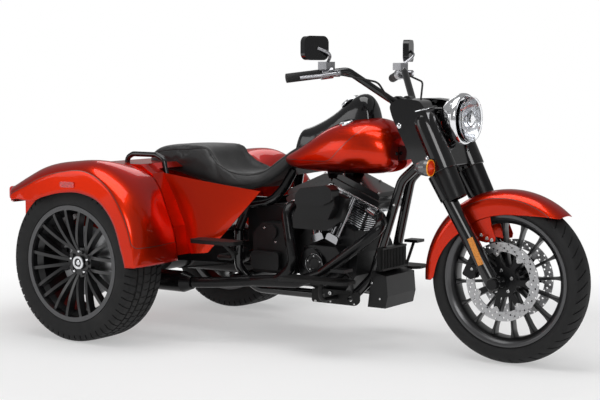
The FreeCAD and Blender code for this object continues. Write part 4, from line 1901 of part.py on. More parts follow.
def build():
    """All sub-parts in the order in which they rest on each other."""
    wheels = [make(word, side) for word, side in SIDES for make in (rear_tyre, rear_wheel, rear_disc)]
    wheels += [front_tyre(), front_wheel(), front_discs(), front_axle()]
    bar = handlebar()
    grips = hand_grips()
    levers = hand_controls(grips)
    clamps = fork_clamps()
    fork = [clamps, fork_legs(), headlamp(), headlamp_lens(), turn_signals(), bar, grips, levers,
            mirrors(), front_fender(), front_calipers(), nacelle([bar]), control_cables([levers, clamps, bar])]
    tub = trunk_tub()
    fenders = [fender(word, side) for word, side in SIDES]
    tank = fuel_tank()
    pod = console()
    skeleton = frame()
    axle = axle_housing()
    saddle = seat([doc.getObject("tub_shell"), tank, doc.getObject("console_form")])
    body = [tub, trunk_lid(), tail_lamps(), side_markers(fenders), grab_rails(tub), side_panels(tub), tank,
            pod, saddle]
    boxes = rocker_boxes()
    barrels = cylinders()
    cans = mufflers()
    engine = [crankcase(), barrels, boxes, gear_cover(), pushrods(boxes), air_cleaner(), primary_cover(),
              transmission(), drive_belt(), exhaust_headers([barrels, cans]), cans]
    boards = footboards(skeleton)
    gearbox = next(piece for piece in engine if piece.Name == "transmission")
    chassis = [skeleton, axle, rear_calipers(), rear_shocks(skeleton, axle), boards,
               battery_box([skeleton, gearbox, saddle]), foot_controls([skeleton, boards]),
               chin_box(skeleton), oil_cooler(skeleton)]
    return wheels + fork + body + fenders + engine + chassis


def export(nodes):
    """Check every object, then write each sub-part to its own file."""
    doc.recompute()
    wrong = [item.Name for item in doc.Objects if "Invalid" in item.State or "Error" in item.State]
    wrong += [node.Name for node in nodes if node.Shape.isNull() or not node.Shape.isValid()]
    if wrong:
        raise RuntimeError("not built: " + ", ".join(wrong))
    os.makedirs("parts", exist_ok=True)
    for node in nodes:
        node.Label = node.Name
        node.Shape.exportStep("parts/%s.step" % node.Name)
    print(len(nodes), "sub-parts")


export(build())
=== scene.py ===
# %% [markdown]
# # A motor trike dressed for its portrait
#
# The trike's solids come from a CAD model and stay exactly where they are. This notebook gives every solid a
# finish worked out from nodes, and adds the pieces that a CAD model leaves plain: tyre treads, the padded
# saddle, pinstripes, bolts, drilled discs, lamps and dials.
#
# Everything is in metres: X points to the front, Y to the rider's left, Z up.

import json
import math

import bmesh
import bpy
import numpy as np
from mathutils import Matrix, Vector
from mathutils.bvhtree import BVHTree


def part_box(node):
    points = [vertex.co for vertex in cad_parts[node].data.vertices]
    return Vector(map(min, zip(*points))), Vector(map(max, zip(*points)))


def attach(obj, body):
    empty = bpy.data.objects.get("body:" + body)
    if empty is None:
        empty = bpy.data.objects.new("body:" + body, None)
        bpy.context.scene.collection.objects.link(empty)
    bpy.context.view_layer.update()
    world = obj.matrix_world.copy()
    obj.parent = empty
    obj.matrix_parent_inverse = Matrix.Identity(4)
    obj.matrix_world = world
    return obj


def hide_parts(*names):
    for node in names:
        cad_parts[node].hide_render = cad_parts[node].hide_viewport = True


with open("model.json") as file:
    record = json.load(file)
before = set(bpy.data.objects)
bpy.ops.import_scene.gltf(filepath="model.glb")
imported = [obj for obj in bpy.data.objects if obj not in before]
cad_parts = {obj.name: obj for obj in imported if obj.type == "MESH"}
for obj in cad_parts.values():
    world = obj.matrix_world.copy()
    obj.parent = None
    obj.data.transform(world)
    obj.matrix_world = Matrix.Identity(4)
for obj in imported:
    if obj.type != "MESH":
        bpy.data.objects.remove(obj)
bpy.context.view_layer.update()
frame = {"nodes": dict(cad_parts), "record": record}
NODES = frame["nodes"]
BODY_OF = {node: body for body, nodes in frame["record"]["behaviour"]["bodies"].items() for node in nodes}
REAR_AXLE = -0.704
SIDES = (("right", -1), ("left", 1))


def ahead(x):
    """Place along X of a length measured forwards from the rear axle."""
    return x + REAR_AXLE


FRONT_HUB = (ahead(1.670), 0.0, 0.319)
REAR_HUBS = {word: (REAR_AXLE, 0.530 * side, 0.325) for word, side in SIDES}

# %% [markdown]
# ## Camera
#
# The photograph looks at the right-hand front from a little above the axles, from far away, so that the lines
# hardly close up. A camera could be placed by eye. Here its turn, height and distance were fitted to points
# that are easy to find, such as the three wheel centres, and are written down as numbers.

# %% The camera
TURN, RISE, DISTANCE = math.radians(33.909), math.radians(5.057), 5.832
AIM = Vector((0.004, 0.0, 0.576))
camera_data = bpy.data.cameras.new("camera")
camera_data.sensor_width, camera_data.lens = 36.0, 83.88
camera = bpy.data.objects.new("camera", camera_data)
camera.location = AIM + DISTANCE * Vector(
    (math.sin(TURN) * math.cos(RISE), -math.cos(TURN) * math.cos(RISE), math.sin(RISE)))
camera.rotation_euler = (AIM - camera.location).to_track_quat("-Z", "Y").to_euler()
scene = bpy.context.scene
scene.collection.objects.link(camera)
scene.camera = camera
scene.view_settings.view_transform = "Standard"
print("camera at", [round(c, 3) for c in camera.location])

# %% [markdown]
# ## Shader maths as plain expressions
#
# A finish is a small graph of nodes. It can be wired by hand in the editor, but sums such as
# `ring = (radius * 40).fract()` read better as code. The class below wraps one output socket, and each operator
# adds the Math node that does it. `1 - mask` works too, through the reflected forms.

# %% The wire class and the finish class
def operator(operation, reflected=False):
    """Method that adds a Math node; the reflected form puts the other value first."""
    def method(self, *others):
        values = (*others, self) if reflected else (self, *others)
        return self.finish.node("ShaderNodeMath", {"operation": operation}, dict(enumerate(values)))
    return method


class Wire:
    """One output socket; arithmetic on it adds Math nodes to its finish."""

    def __init__(self, finish, socket):
        self.finish, self.socket = finish, socket

    __add__ = __radd__ = operator("ADD")
    __mul__ = __rmul__ = operator("MULTIPLY")
    __sub__, __rsub__ = operator("SUBTRACT"), operator("SUBTRACT", reflected=True)
    __gt__, __lt__ = operator("GREATER_THAN"), operator("LESS_THAN")
    fract, size, root = operator("FRACT"), operator("ABSOLUTE"), operator("SQRT")
    least, most = operator("MINIMUM"), operator("MAXIMUM")

    def step(self, low, high):
        """0 below low, 1 above high, and a smooth rise between them."""
        return self.finish.node("ShaderNodeMapRange", {"interpolation_type": "SMOOTHSTEP"},
                                {"Value": self, "From Min": low, "From Max": high})

    def zigzag(self):
        """A half where the value is whole, 0 halfway between two whole numbers."""
        return (self.fract() - 0.5).size()

    def hypot(self, other):
        """Distance from the origin of a point with these two coordinates."""
        return (self * self + other * other).root()


class Finish:
    """A material round one Principled shader, and the nodes that feed it."""

    def __init__(self, name, **fixed):
        self.material = bpy.data.materials.new(name)
        self.material.use_nodes = True
        self.tree = self.material.node_tree
        self.shader = self.tree.nodes["Principled BSDF"]
        for word, value in fixed.items():
            self.input(word).default_value = value

    def input(self, word):
        return self.shader.inputs[word.replace("_", " ").title().replace("Ior", "IOR")]

    def node(self, kind, settings=None, sockets=None, output=0):
        """Any node: its type, its settings, then values or wires for its sockets by name or number."""
        made = self.tree.nodes.new(kind)
        for word, value in (settings or {}).items():
            setattr(made, word, value)
        for key, value in (sockets or {}).items():
            if isinstance(value, Wire):
                self.tree.links.new(value.socket, made.inputs[key])
            else:
                made.inputs[key].default_value = value
        return Wire(self, made.outputs[output])

    def split(self, vector):
        """The three numbers of a vector."""
        parts = self.node("ShaderNodeSeparateXYZ", {}, {0: vector}).socket.node
        return [Wire(self, out) for out in parts.outputs]

    def place(self, middle=(0, 0, 0), turn=(0, 0, 0), scale=(1, 1, 1)):
        """Object coordinates, moved so that middle is the origin, then turned and scaled."""
        raw = self.node("ShaderNodeTexCoord", output="Object")
        moved = self.node("ShaderNodeVectorMath", {"operation": "SUBTRACT"}, {0: raw, 1: middle})
        return self.node("ShaderNodeMapping", {}, {"Vector": moved, "Rotation": turn, "Scale": scale})

    def axes(self, *place):
        """The three object coordinates as single numbers, after the same move and turn."""
        return self.split(self.place(*place))

    def noise(self, scale, detail=3.0, where=None):
        return self.node("ShaderNodeTexNoise", {},
                         {"Vector": where or self.place(), "Scale": scale, "Detail": detail})

    def cells(self, scale, feature="F1"):
        return self.node("ShaderNodeTexVoronoi", {"feature": feature},
                         {"Vector": self.place(), "Scale": scale})

    def mix(self, mask, first, second):
        """Colour that goes from first to second as the mask goes from 0 to 1; one number makes a grey."""
        ends = [c if isinstance(c, Wire) else (*np.broadcast_to(c, 3).tolist(), 1.0) for c in (first, second)]
        return self.node("ShaderNodeMix", {"data_type": "RGBA"}, {0: mask, 6: ends[0], 7: ends[1]}, output=2)

    def done(self, bump=None, **wires):
        """Material whose shader the wires feed; a mask with two colours is mixed first.

        bump is a height, its depth in metres and its strength."""
        if bump:
            sockets = dict(zip(("Height", "Distance", "Strength"), bump))
            wires["normal"] = self.node("ShaderNodeBump", {}, sockets)
        for word, wire in wires.items():
            wire = self.mix(*wire) if isinstance(wire, tuple) else wire
            self.tree.links.new(wire.socket, self.input(word))
        return self.material


print("wires and finishes are ready")

# %% [markdown]
# ## Floor, backdrop and lamps
#
# The photograph is a studio cut-out: white all round, with a soft grey shadow on the floor. A white world alone
# would give the white, but not the shadow. Here the floor is a pale grey that the lamps light, and only rays
# that come straight from the camera, off a mirror or through glass see the white backdrop.

# %% Floor
finish = Finish("studio_floor", roughness=0.6, base_color=(0.93, 0.93, 0.93, 1.0))
x, y, _ = finish.axes()
far = (x.hypot(y) + finish.noise(1.3) * 0.2).step(0.6, 2.6)
rays = finish.node("ShaderNodeLightPath").socket.node.outputs
seen, glossy, through = (Wire(finish, rays[f"Is {word} Ray"])
                         for word in ("Camera", "Glossy", "Transmission"))
white = finish.node("ShaderNodeEmission", {}, {"Color": (1, 1, 1, 1), "Strength": 1.0})
both = finish.node("ShaderNodeMixShader", {}, {0: far.most(0.42) * seen.most(glossy).most(through),
                                               1: Wire(finish, finish.shader.outputs[0]), 2: white})
finish.tree.links.new(both.socket, finish.tree.nodes["Material Output"].inputs["Surface"])
HALF = 14
floor_mesh = bpy.data.meshes.new("studio_floor")
floor_mesh.from_pydata([(-HALF, -HALF, 0), (HALF, -HALF, 0), (HALF, HALF, 0), (-HALF, HALF, 0)], [],
                       [(0, 1, 2, 3)])
floor_mesh.materials.append(finish.material)
floor = bpy.data.objects.new("studio_floor", floor_mesh)
scene.collection.objects.link(floor)
print("floor:", 2 * HALF, "m square")

# %% World and soft boxes
world = bpy.data.worlds.new("studio")
scene.world = world
world.use_nodes = True
tree = world.node_tree
grey, white = tree.nodes["Background"], tree.nodes.new("ShaderNodeBackground")
for light, strength in ((grey, 0.30), (white, 1.0)):
    light.inputs["Color"].default_value, light.inputs["Strength"].default_value = (1, 1, 1, 1), strength
path, seen, both = (tree.nodes.new("ShaderNode" + kind) for kind in ("LightPath", "Math", "MixShader"))
seen.operation = "MAXIMUM"
for source, target in ((path.outputs["Is Camera Ray"], seen.inputs[0]),
                       (path.outputs["Is Transmission Ray"], seen.inputs[1]),
                       (seen.outputs[0], both.inputs[0]), (grey.outputs[0], both.inputs[1]),
                       (white.outputs[0], both.inputs[2]),
                       (both.outputs[0], tree.nodes["World Output"].inputs["Surface"])):
    tree.links.new(source, target)
SOFT_BOXES = {
    "over": ((0.2, -0.6, 3.6), (3.2, 2.2), 78.0),
    "key": ((3.0, -3.4, 2.6), (1.8, 1.4), 42.0),
    "side": ((-2.6, -3.2, 1.5), (1.4, 1.8), 16.0),
    "rim": ((-2.4, 3.0, 2.6), (2.0, 1.2), 12.0),
}
for word, (place, size, power) in SOFT_BOXES.items():
    lamp = bpy.data.lights.new(word, "AREA")
    lamp.shape, lamp.size, lamp.size_y, lamp.energy = "RECTANGLE", *size, power
    box = bpy.data.objects.new(word, lamp)
    box.location = place
    box.rotation_euler = (AIM - Vector(place)).to_track_quat("-Z", "Y").to_euler()
    scene.collection.objects.link(box)
print("lamps:", list(SOFT_BOXES))

# %% [markdown]
# ## Finishes
#
# The real trike has few materials, each with its own small irregularities: orange-red metallic paint under a
# clear coat, gloss and satin black coatings, machined alloy, chrome, ground steel, rubber and grained vinyl. A
# flat colour would look like plastic, so each finish below varies its roughness with noise and has a fine bump.
# All of it reads object coordinates, so it stays put on a moving part.

# %% Paint
# The paint's lit and shaded tones: their mix is partly random tone from flakes and a cloud, partly a painted
# highlight and shade that follow how far a face turns from the camera.
PAINT_LIT_TONE, PAINT_SHADED_TONE, STRIPE_GREY = (0.70, 0.024, 0.001), (0.24, 0.002, 0.001), (0.10, 0.085, 0.08)
CLEAR_COAT = dict(coat_weight=0.7, coat_roughness=0.03, coat_ior=1.35, specular_ior_level=0.2,
                  specular_tint=(1.0, 0.25, 0.10, 1.0))


def paint(finish, stripe=None):
    """Metallic paint: fine flakes and a cloud shift the colour, faces turned to the camera get a painted highlight
    and faces seen edge-on a painted shade, and a slow noise bends the clear coat like orange peel.
    """
    flakes, cloud = finish.cells(900.0), finish.noise(2.5)
    # Painted highlight and shade: faces turned to the camera get the lit tone, faces seen edge-on the shaded tone.
    edge_shade = finish.node("ShaderNodeLayerWeight", {}, {"Blend": 0.35}, output=1)
    mask = (flakes * 0.35 + cloud * 0.25 + (1.0 - edge_shade) * 0.5).step(0.15, 0.95)
    colour = finish.mix(mask, PAINT_SHADED_TONE, PAINT_LIT_TONE)
    if stripe is not None:
        colour = finish.mix(stripe, colour, STRIPE_GREY)
    return finish.done((finish.noise(170.0, 1.0), 0.00005, 0.3), base_color=colour,
                       metallic=flakes * 0.15 + 0.75, roughness=flakes * 0.10 + 0.25)


PAINT = paint(Finish("orange_red_paint", **CLEAR_COAT))
print("paint is ready")

# %% Black coatings, bare metals and rubber
def coating(name, colour, roughness, grain=0.00004, scale=700.0, coat=0.0, dust=0.02):
    """Black coating: a little dust lifts the colour, noise spreads the roughness, a grain breaks the light."""
    finish = Finish(name, coat_weight=coat, coat_roughness=0.05, specular_ior_level=0.26)
    lift = tuple(c + (0.16 - c) * dust for c in colour)
    return finish.done((finish.noise(scale, 2.0), grain, 0.6),
                       base_color=(finish.noise(7.0, 4.0).step(0.45, 0.85), colour, lift),
                       roughness=finish.noise(23.0) * (roughness * 0.45) + roughness * 0.8)


def metal(name, colour, roughness, brushed=(1, 1, 1), scale=60.0, depth=0.00002):
    """Bare metal: stretched noise gives brushing or casting grain, smudges spread the roughness."""
    finish = Finish(name, metallic=1.0)
    smudge = finish.noise(9.0, 4.0).step(0.35, 0.75)
    lines = finish.noise(scale, 3.0, where=finish.place(scale=brushed))
    return finish.done((lines, depth, 0.5), roughness=smudge * roughness * 0.5 + roughness * 0.75,
                       base_color=(lines, tuple(c * 0.72 for c in colour), colour))


DEEP_BLACK, BLACK = (0.004, 0.004, 0.0045), (0.006, 0.006, 0.0065)
GLOSS = coating("gloss_black", DEEP_BLACK, 0.14, 0.00002, 300.0, coat=0.6, dust=0.01)
COVER = coating("cover_black", DEEP_BLACK, 0.30, 0.00004, 600.0, coat=0.06, dust=0.01)
EXHAUST = coating("exhaust_black", DEEP_BLACK, 0.24, 0.00003, 500.0)
SATIN = coating("satin_black", BLACK, 0.34)
WRINKLE = coating("wrinkle_black", BLACK, 0.40, 0.00018, 900.0, dust=0.03)
MOULDED = coating("moulded_black", (0.009, 0.009, 0.009), 0.50, 0.00012, 1200.0, dust=0.05)
CHROME = metal("chrome", (0.83, 0.84, 0.86), 0.06)
BRIGHT = metal("machined_alloy", (0.78, 0.79, 0.81), 0.18, brushed=(1, 14, 1), scale=90.0)
STEEL = metal("zinc_steel", (0.62, 0.62, 0.62), 0.28)
TUBES = metal("tube_alloy", (0.44, 0.44, 0.46), 0.20, scale=200.0)
LEVER = metal("lever_alloy", (0.40, 0.40, 0.42), 0.30, depth=0.00001)

finish = Finish("rubber", specular_ior_level=0.35)
dust = finish.noise(6.0, 6.0).step(0.42, 0.9)
RUBBER = finish.done((finish.noise(1500.0, 2.0), 0.00018, 0.5), roughness=finish.noise(40.0) * 0.18 + 0.59,
                     base_color=(dust, (0.011, 0.011, 0.0115), (0.026, 0.025, 0.024)))
print("coatings, metals and rubber are ready")

# %% [markdown]
# ### Ground brake discs
#
# A brake pad leaves fine circles on its disc. The distance from the wheel's axis, taken from the two coordinates
# across it, drives a one-dimensional noise, so the marks run round the disc in any pose.

# %% Disc steel
def disc_steel(name, middle):
    """Ground steel: noise over the radius alone gives circles, fine in the bump and coarse in the colour."""
    finish = Finish(name, metallic=1.0)
    x, _, z = finish.axes(middle)
    fine, streak = (finish.node("ShaderNodeTexNoise", {"noise_dimensions": "1D"},
                                {"W": x.hypot(z), "Scale": scale}) for scale in (2600.0, 260.0))
    return finish.done((fine, 0.00002, 0.5), roughness=streak * 0.14 + 0.30,
                       base_color=(streak, (0.40, 0.40, 0.41), (0.58, 0.58, 0.59)))


DISC = disc_steel("front_disc_steel", FRONT_HUB)
REAR_DISC = disc_steel("rear_disc_steel", REAR_HUBS["right"])
print("disc steel is ready")

# %% [markdown]
# ### Finishes that follow one piece's own shape
#
# Some solids carry two finishes on one casting. The fin edges of a black cylinder are machined bright, a cast
# wheel has a machined lip, a bullet lamp is a black shell behind an amber lens. A mask worked out from object
# coordinates, turned to stand along the piece, tells the two apart.

# %% Cylinders with bright fin edges
V_ANGLE = math.radians(22.5)
CRANK = (ahead(0.926), 0.0, 0.360)
finish = Finish("finned_cylinder")
x, y, z = finish.axes(CRANK)
front, rear = ((x * math.cos(turn) - z * math.sin(turn)).size().most(y.size()) > 0.0725
               for turn in (V_ANGLE, -V_ANGLE))
edge, grain = front.least(rear), finish.noise(600.0, 2.0)
FINS = finish.done((grain, 0.0001, 0.5), roughness=edge * -0.22 + grain * 0.1 + 0.42, metallic=edge,
                   base_color=(edge, (0.014, 0.014, 0.015), (0.72, 0.73, 0.75)))
print("cylinder finish is ready")

# %% Cast wheels
def cast_wheel(name, middle, lip, face):
    """Satin black casting; the outer side of the lip is a more metallic dark grey."""
    finish = Finish(name, coat_weight=0.25, coat_roughness=0.12)
    x, y, z = finish.axes(middle)
    rim = (x.hypot(z) > lip).least(y.size() > face)
    grain, dust = finish.noise(320.0, 2.0), finish.noise(12.0, 4.0).step(0.4, 0.9)
    body = finish.mix(dust * 0.5, (0.010, 0.010, 0.011), (0.030, 0.030, 0.031))
    return finish.done((grain, 0.00003, 0.4), base_color=(rim, body, (0.085, 0.085, 0.088)),
                       metallic=rim * 0.6 + 0.1, roughness=grain * 0.14 + 0.24)


WHEELS = {"front_wheel": cast_wheel("front_wheel_casting", FRONT_HUB, 0.232, 0.040)}
for word, hub in REAR_HUBS.items():
    WHEELS["rear_wheel_" + word] = cast_wheel("rear_wheel_casting_" + word, hub, 0.217, 0.090)
print("wheel finishes:", list(WHEELS))

# %% Lamps and glass
finish = Finish("red_lens", transmission_weight=0.1, ior=1.49, coat_weight=0.6, coat_roughness=0.03,
                emission_strength=0.35)
RED = (0.62, 0.010, 0.008)
_, _, z = finish.axes()
ramp, cell = (z * 220.0).zigzag() * 2.0, finish.cells(130.0).step(0.0, 0.9)
RED_LENS = finish.done((ramp, 0.0004, 0.5), roughness=cell * 0.08 + 0.06,
                       base_color=(ramp * 0.5 + cell * 0.5, tuple(c * 0.55 for c in RED), RED),
                       emission_color=(cell, 0.0, (0.5, 0.01, 0.01)))

finish = Finish("signal_shell_and_lens", coat_weight=0.5, coat_roughness=0.03, emission_strength=0.3)
x, y, z = finish.axes()
front, out, up = x > ahead(1.4265), y.size() - 0.190, z - 0.746
rim = out.hypot(up) > 0.0278
rib, cell = (z * 260.0).zigzag() * 2.0, finish.cells(150.0)
amber = finish.mix(rib * 0.4 + cell * 0.6, (0.40, 0.008, 0.0), (0.80, 0.045, 0.001))
amber = finish.mix(rim * 0.75, amber, (1.0, 0.50, 0.02))
SIGNALS = finish.done((rib * front, 0.0005, 0.5), roughness=cell * 0.06 + 0.10,
                      base_color=(front, (0.10, 0.10, 0.105), amber),
                      emission_color=(front, 0.0, (0.40, 0.02, 0.0)))

# The reflector gets a painted glow: its prism cells emit amber light, though a reflector is no lamp.
finish = Finish("amber_reflector_painted_glow", coat_weight=0.6, coat_roughness=0.04, emission_strength=0.3)
prism = finish.cells(420.0, "DISTANCE_TO_EDGE").step(0.0, 0.12)
AMBER_WITH_PAINTED_GLOW = finish.done((prism, 0.0003, 0.5), roughness=prism * 0.1 + 0.22,
                    base_color=(prism, (0.40, 0.10, 0.003), (0.70, 0.25, 0.006)),
                    emission_color=(prism, 0.0, (0.35, 0.12, 0.0)))

finish = Finish("headlamp_glass", transmission_weight=1.0, ior=1.47, coat_weight=0.3,
                base_color=(0.97, 0.98, 1.0, 1.0))
GLASS = finish.done((finish.noise(25.0), 0.00002, 0.1),
                    roughness=finish.noise(14.0, 3.0).step(0.5, 0.9) * 0.03 + 0.01)
print("lenses and glass are ready")

# %% Saddle cover: small cells for the grain, and a slow cloud over the cover that is less rough and lighter in colour, the lighter colour partly wear, partly a painted sheen
finish = Finish("saddle_vinyl", specular_ior_level=0.45, sheen_weight=0.12, sheen_roughness=0.4)
grain = finish.cells(620.0, "DISTANCE_TO_EDGE").step(0.0, 0.22)
folds, wear_and_sheen = finish.noise(60.0, 4.0), finish.noise(5.0, 3.0).step(0.4, 0.8)
# Patches of wear and painted sheen: the colour is lighter and the roughness lower there.
VINYL = finish.done((grain * 0.7 + folds * 0.3, 0.00028, 0.55),
                    base_color=(wear_and_sheen * 0.6, (0.013, 0.013, 0.0135), (0.032, 0.031, 0.031)),
                    roughness=folds * 0.12 + wear_and_sheen * -0.08 + 0.44)
print("saddle finish is ready")

# %% [markdown]
# ## Giving each solid its finish
#
# A solid comes in with the plain colour of its record. Its object keeps its mesh, and only the material in its
# slots changes.

# %% Which solid gets which finish
COATS = (
    (PAINT, "fuel_tank trunk_tub fender_right fender_left side_panels front_fender trunk_lid"),
    (GLOSS, "console nacelle fork_legs fork_clamps handlebar grab_rails mirrors frame"),
    (SATIN, "front_axle front_calipers rear_calipers foot_controls rear_shocks axle_housing battery_box"),
    (WRINKLE, "crankcase transmission rocker_boxes gear_cover primary_cover air_cleaner"),
    (EXHAUST, "exhaust_headers mufflers"),
    (MOULDED, "chin_box oil_cooler footboards"),
    (CHROME, "headlamp"),
    (TUBES, "pushrods"),
    (LEVER, "hand_controls"),
    (RUBBER, "hand_grips control_cables drive_belt front_tyre rear_tyre_right rear_tyre_left"),
    (RED_LENS, "tail_lamps side_markers"),
    (GLASS, "headlamp_lens"),
    (FINS, "cylinders"),
    (SIGNALS, "turn_signals"),
    (DISC, "front_discs"),
    (REAR_DISC, "rear_disc_right rear_disc_left"),
    (VINYL, "seat"),
    *((material, name) for name, material in WHEELS.items()),
)


def coat(piece, material):
    """Put one material in every slot of a piece."""
    piece.data.materials.clear()
    piece.data.materials.append(material)


for material, names in COATS:
    for name in names.split():
        coat(NODES[name], material)
print("finished solids:", sum(len(names.split()) for _, names in COATS))

# %% [markdown]
# ## Surfaces as grids of numbers
#
# Every piece that this notebook adds is a surface of two parameters: one runs along it and one runs round or
# across it. It could be drawn by hand with the mouse, but a formula gives the same piece each time, and its sizes
# can be read. The helpers below turn a grid of points into faces, turn a profile about an axis, carry a circle
# along a path, and join such parts into one mesh.

# %% Numbers, angles and vectors
def mm(text):
    """Table of numbers in millimetres, its rows parted by commas, as an array in metres."""
    return np.array([[float(n) for n in row.split()] for row in text.split(",")]) / 1000


def turns(count, first=0.0):
    """Evenly spaced angles of a full turn."""
    return first + np.arange(count) * 2 * np.pi / count


def unit(vectors):
    """Vectors divided by their own length."""
    vectors = np.asarray(vectors, float)
    return vectors / np.linalg.norm(vectors, axis=-1, keepdims=True)


def across(axis):
    """An axis brought to length one, and two unit vectors square to it and to each other."""
    axis = unit(axis)
    first = unit(np.cross(axis, np.eye(3)[np.argmin(np.abs(axis))]))
    return axis, first, np.cross(axis, first)


def about(middle, radius, turn, out=0.0):
    """Points at a radius and an angle round an axis along Y, moved out along it."""
    radius, turn, out = np.broadcast_arrays(radius, turn, out)
    x, z = middle[0] + radius * np.cos(turn), middle[2] + radius * np.sin(turn)
    return np.stack([x, middle[1] + out, z], -1)


def smooth_line(points, steps):
    """Curve through all the points: each span is a cubic whose slopes are half the step between neighbours."""
    points = np.asarray(points, float)
    longer = np.concatenate([points[:1] * 2 - points[1:2], points, points[-1:] * 2 - points[-2:-1]])
    t = np.linspace(0, len(points) - 1, steps)
    i = np.minimum(t.astype(int), len(points) - 2)
    u = (t - i)[:, None]
    a, b, c, d = (longer[i + k] for k in range(4))
    return 0.5 * (2 * b + (c - a) * u + (2 * a - 5 * b + 4 * c - d) * u ** 2
                  + (3 * b - a - 3 * c + d) * u ** 3)


def hermite(start, end, leave, arrive, u):
    """Cubic from start to end that leaves and arrives with the given slopes."""
    return (start * (2 * u ** 3 - 3 * u ** 2 + 1) + leave * (u ** 3 - 2 * u ** 2 + u)
            + end * (3 * u ** 2 - 2 * u ** 3) + arrive * (u ** 3 - u ** 2))


print("3.6 mm reads as", mm("3.6")[0, 0], "m")

# %% Faces of a grid
def surface(points, rows_close=False, columns_close=True):
    """Part from a grid of points: a face joins each point to the next in its row and in its column."""
    rows, columns = points.shape[:2]
    i = np.arange(rows if rows_close else rows - 1)[:, None]
    j = np.arange(columns if columns_close else columns - 1)[None, :]
    down, right = (i + 1) % rows, (j + 1) % columns
    around = [i * columns + j, down * columns + j, down * columns + right, i * columns + right]
    return points.reshape(-1, 3), np.stack(np.broadcast_arrays(*around), -1).reshape(-1, 4)


def lathe(profile, middle, axis, steps):
    """Surface of turning: middle + height along the axis + radius on a circle square to it."""
    profile = np.asarray(profile, float)
    axis, first, second = across(axis)
    turn = turns(steps)[None, :, None]
    circle = np.cos(turn) * first + np.sin(turn) * second
    return surface(np.asarray(middle) + circle * profile[:, :1, None] + axis * profile[:, 1:, None])


def ring_of(profile, middle, axis=(0, 1, 0), steps=128):
    """Turned ring from a profile of (radius, height) that closes on itself."""
    return lathe(np.concatenate([profile, profile[:1]]), middle, axis, steps)


def capped(path, rings, both=True):
    """Surface of rings along a path, closed by a point of the path at its start, or at both ends."""
    first, last = (np.broadcast_to(path[k], rings[k].shape)[None] for k in (0, -1))
    return surface(np.concatenate([first, rings] + [last] * both))


def tube(path, radius, sides):
    """Circle carried along a path: at each point it stands square to the path, without twisting."""
    way = unit(np.gradient(path, axis=0))
    side, first = across(way[0])[1], []
    for direction in way:
        side = unit(side - direction * side.dot(direction))
        first.append(side)
    first, turn = np.array(first)[:, None], turns(sides)[None, :, None]
    circle = np.cos(turn) * first + np.sin(turn) * np.cross(way[:, None], first)
    return capped(path, path[:, None] + circle * radius)


def bar(path, half_width, half_tall, up=(0, 0, 1), power=5.0, sides=20):
    """Rounded bar along a path, open at its far end: a superellipse, wide square to up and tall along it."""
    way = unit(np.gradient(path, axis=0))
    side = unit(np.cross(way, up))
    rise = np.cross(side, way)
    u, v = (np.sign(wave) * np.abs(wave) ** (2 / power) * np.reshape(half, (-1, 1))
            for wave, half in ((np.cos(turns(sides)), half_width), (np.sin(turns(sides)), half_tall)))
    rings = path[:, None] + side[:, None] * u[..., None] + rise[:, None] * v[..., None]
    return capped(path, rings, both=False)


print("grids, lathes, tubes and bars are ready")

# %% One object from its parts
def link_piece(name, mesh, material, node, replaces, sharp):
    """Object of a mesh, smooth up to an angle, on the body of a CAD node, whose solid it may replace."""
    mesh.shade_smooth()
    mesh.set_sharp_from_angle(angle=math.radians(sharp))
    mesh.materials.append(material)
    made = bpy.data.objects.new(name, mesh)
    scene.collection.objects.link(made)
    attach(made, BODY_OF[node])
    if replaces:
        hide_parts(node)
    return made


def round_edges(made, width, segments, angle):
    """Bevel on every edge that is sharper than an angle."""
    edge = made.modifiers.new("round_off", "BEVEL")
    edge.width, edge.segments, edge.limit_method = width, segments, "ANGLE"
    edge.angle_limit = math.radians(angle)
    return edge


def piece(name, node, slot, material, parts, replaces=False, sharp=35.0, lines=None, shell=0.0,
          round_off=0.0):
    """One object from several parts: doubles merged, faces turned outwards, edges past an angle kept sharp.

    lines gives every point a pair of numbers, kept as a UV map. shell is a wall put inside the surface, and
    round_off a small rounding of the edges. The piece rides on the body of a CAD node."""
    starts = np.cumsum([0] + [len(points) for points, _ in parts[:-1]])
    points = np.concatenate([points for points, _ in parts])
    faces = [face for start, (_, part) in zip(starts, parts) for face in (part + start).tolist()]
    mesh = bpy.data.meshes.new(name)
    mesh.from_pydata(points.tolist(), [], faces)
    if lines is not None:
        corners = np.empty(len(mesh.loops), np.int32)
        mesh.loops.foreach_get("vertex_index", corners)
        mesh.uv_layers.new(name="lines").uv.foreach_set("vector", lines.astype(np.float32)[corners].ravel())
    bare = bmesh.new()
    bare.from_mesh(mesh)
    bmesh.ops.remove_doubles(bare, verts=bare.verts, dist=2e-6)
    bmesh.ops.recalc_face_normals(bare, faces=bare.faces)
    bare.to_mesh(mesh)
    bare.free()
    made = link_piece(name, mesh, material, node, replaces, sharp)
    if round_off:
        round_edges(made, round_off, 3, 40)
    if shell:
        wall = made.modifiers.new("wall", "SOLIDIFY")
        wall.thickness, wall.offset = shell, -1.0
    return made


def softened(node, slot, material, width, segments=3, angle=14.0):
    """A node's own shape with its edges rounded: its triangles merged, flat faces joined, then bevelled."""
    bare = bmesh.new()
    bare.from_mesh(NODES[node].data)
    bmesh.ops.remove_doubles(bare, verts=bare.verts, dist=1e-5)
    bmesh.ops.dissolve_limit(bare, angle_limit=math.radians(0.5), verts=bare.verts, edges=bare.edges)
    mesh = bpy.data.meshes.new(node + "_soft")
    bare.to_mesh(mesh)
    bare.free()
    made = link_piece(node + "_soft", mesh, material, node, True, angle)
    round_edges(made, width, segments, angle).harden_normals = True
    return made


# %% Where a piece sits: a solid's surface, and bolts on it
TREES = {}


def tree_of(mesh):
    return BVHTree.FromPolygons([v.co for v in mesh.vertices], [p.vertices[:] for p in mesh.polygons])


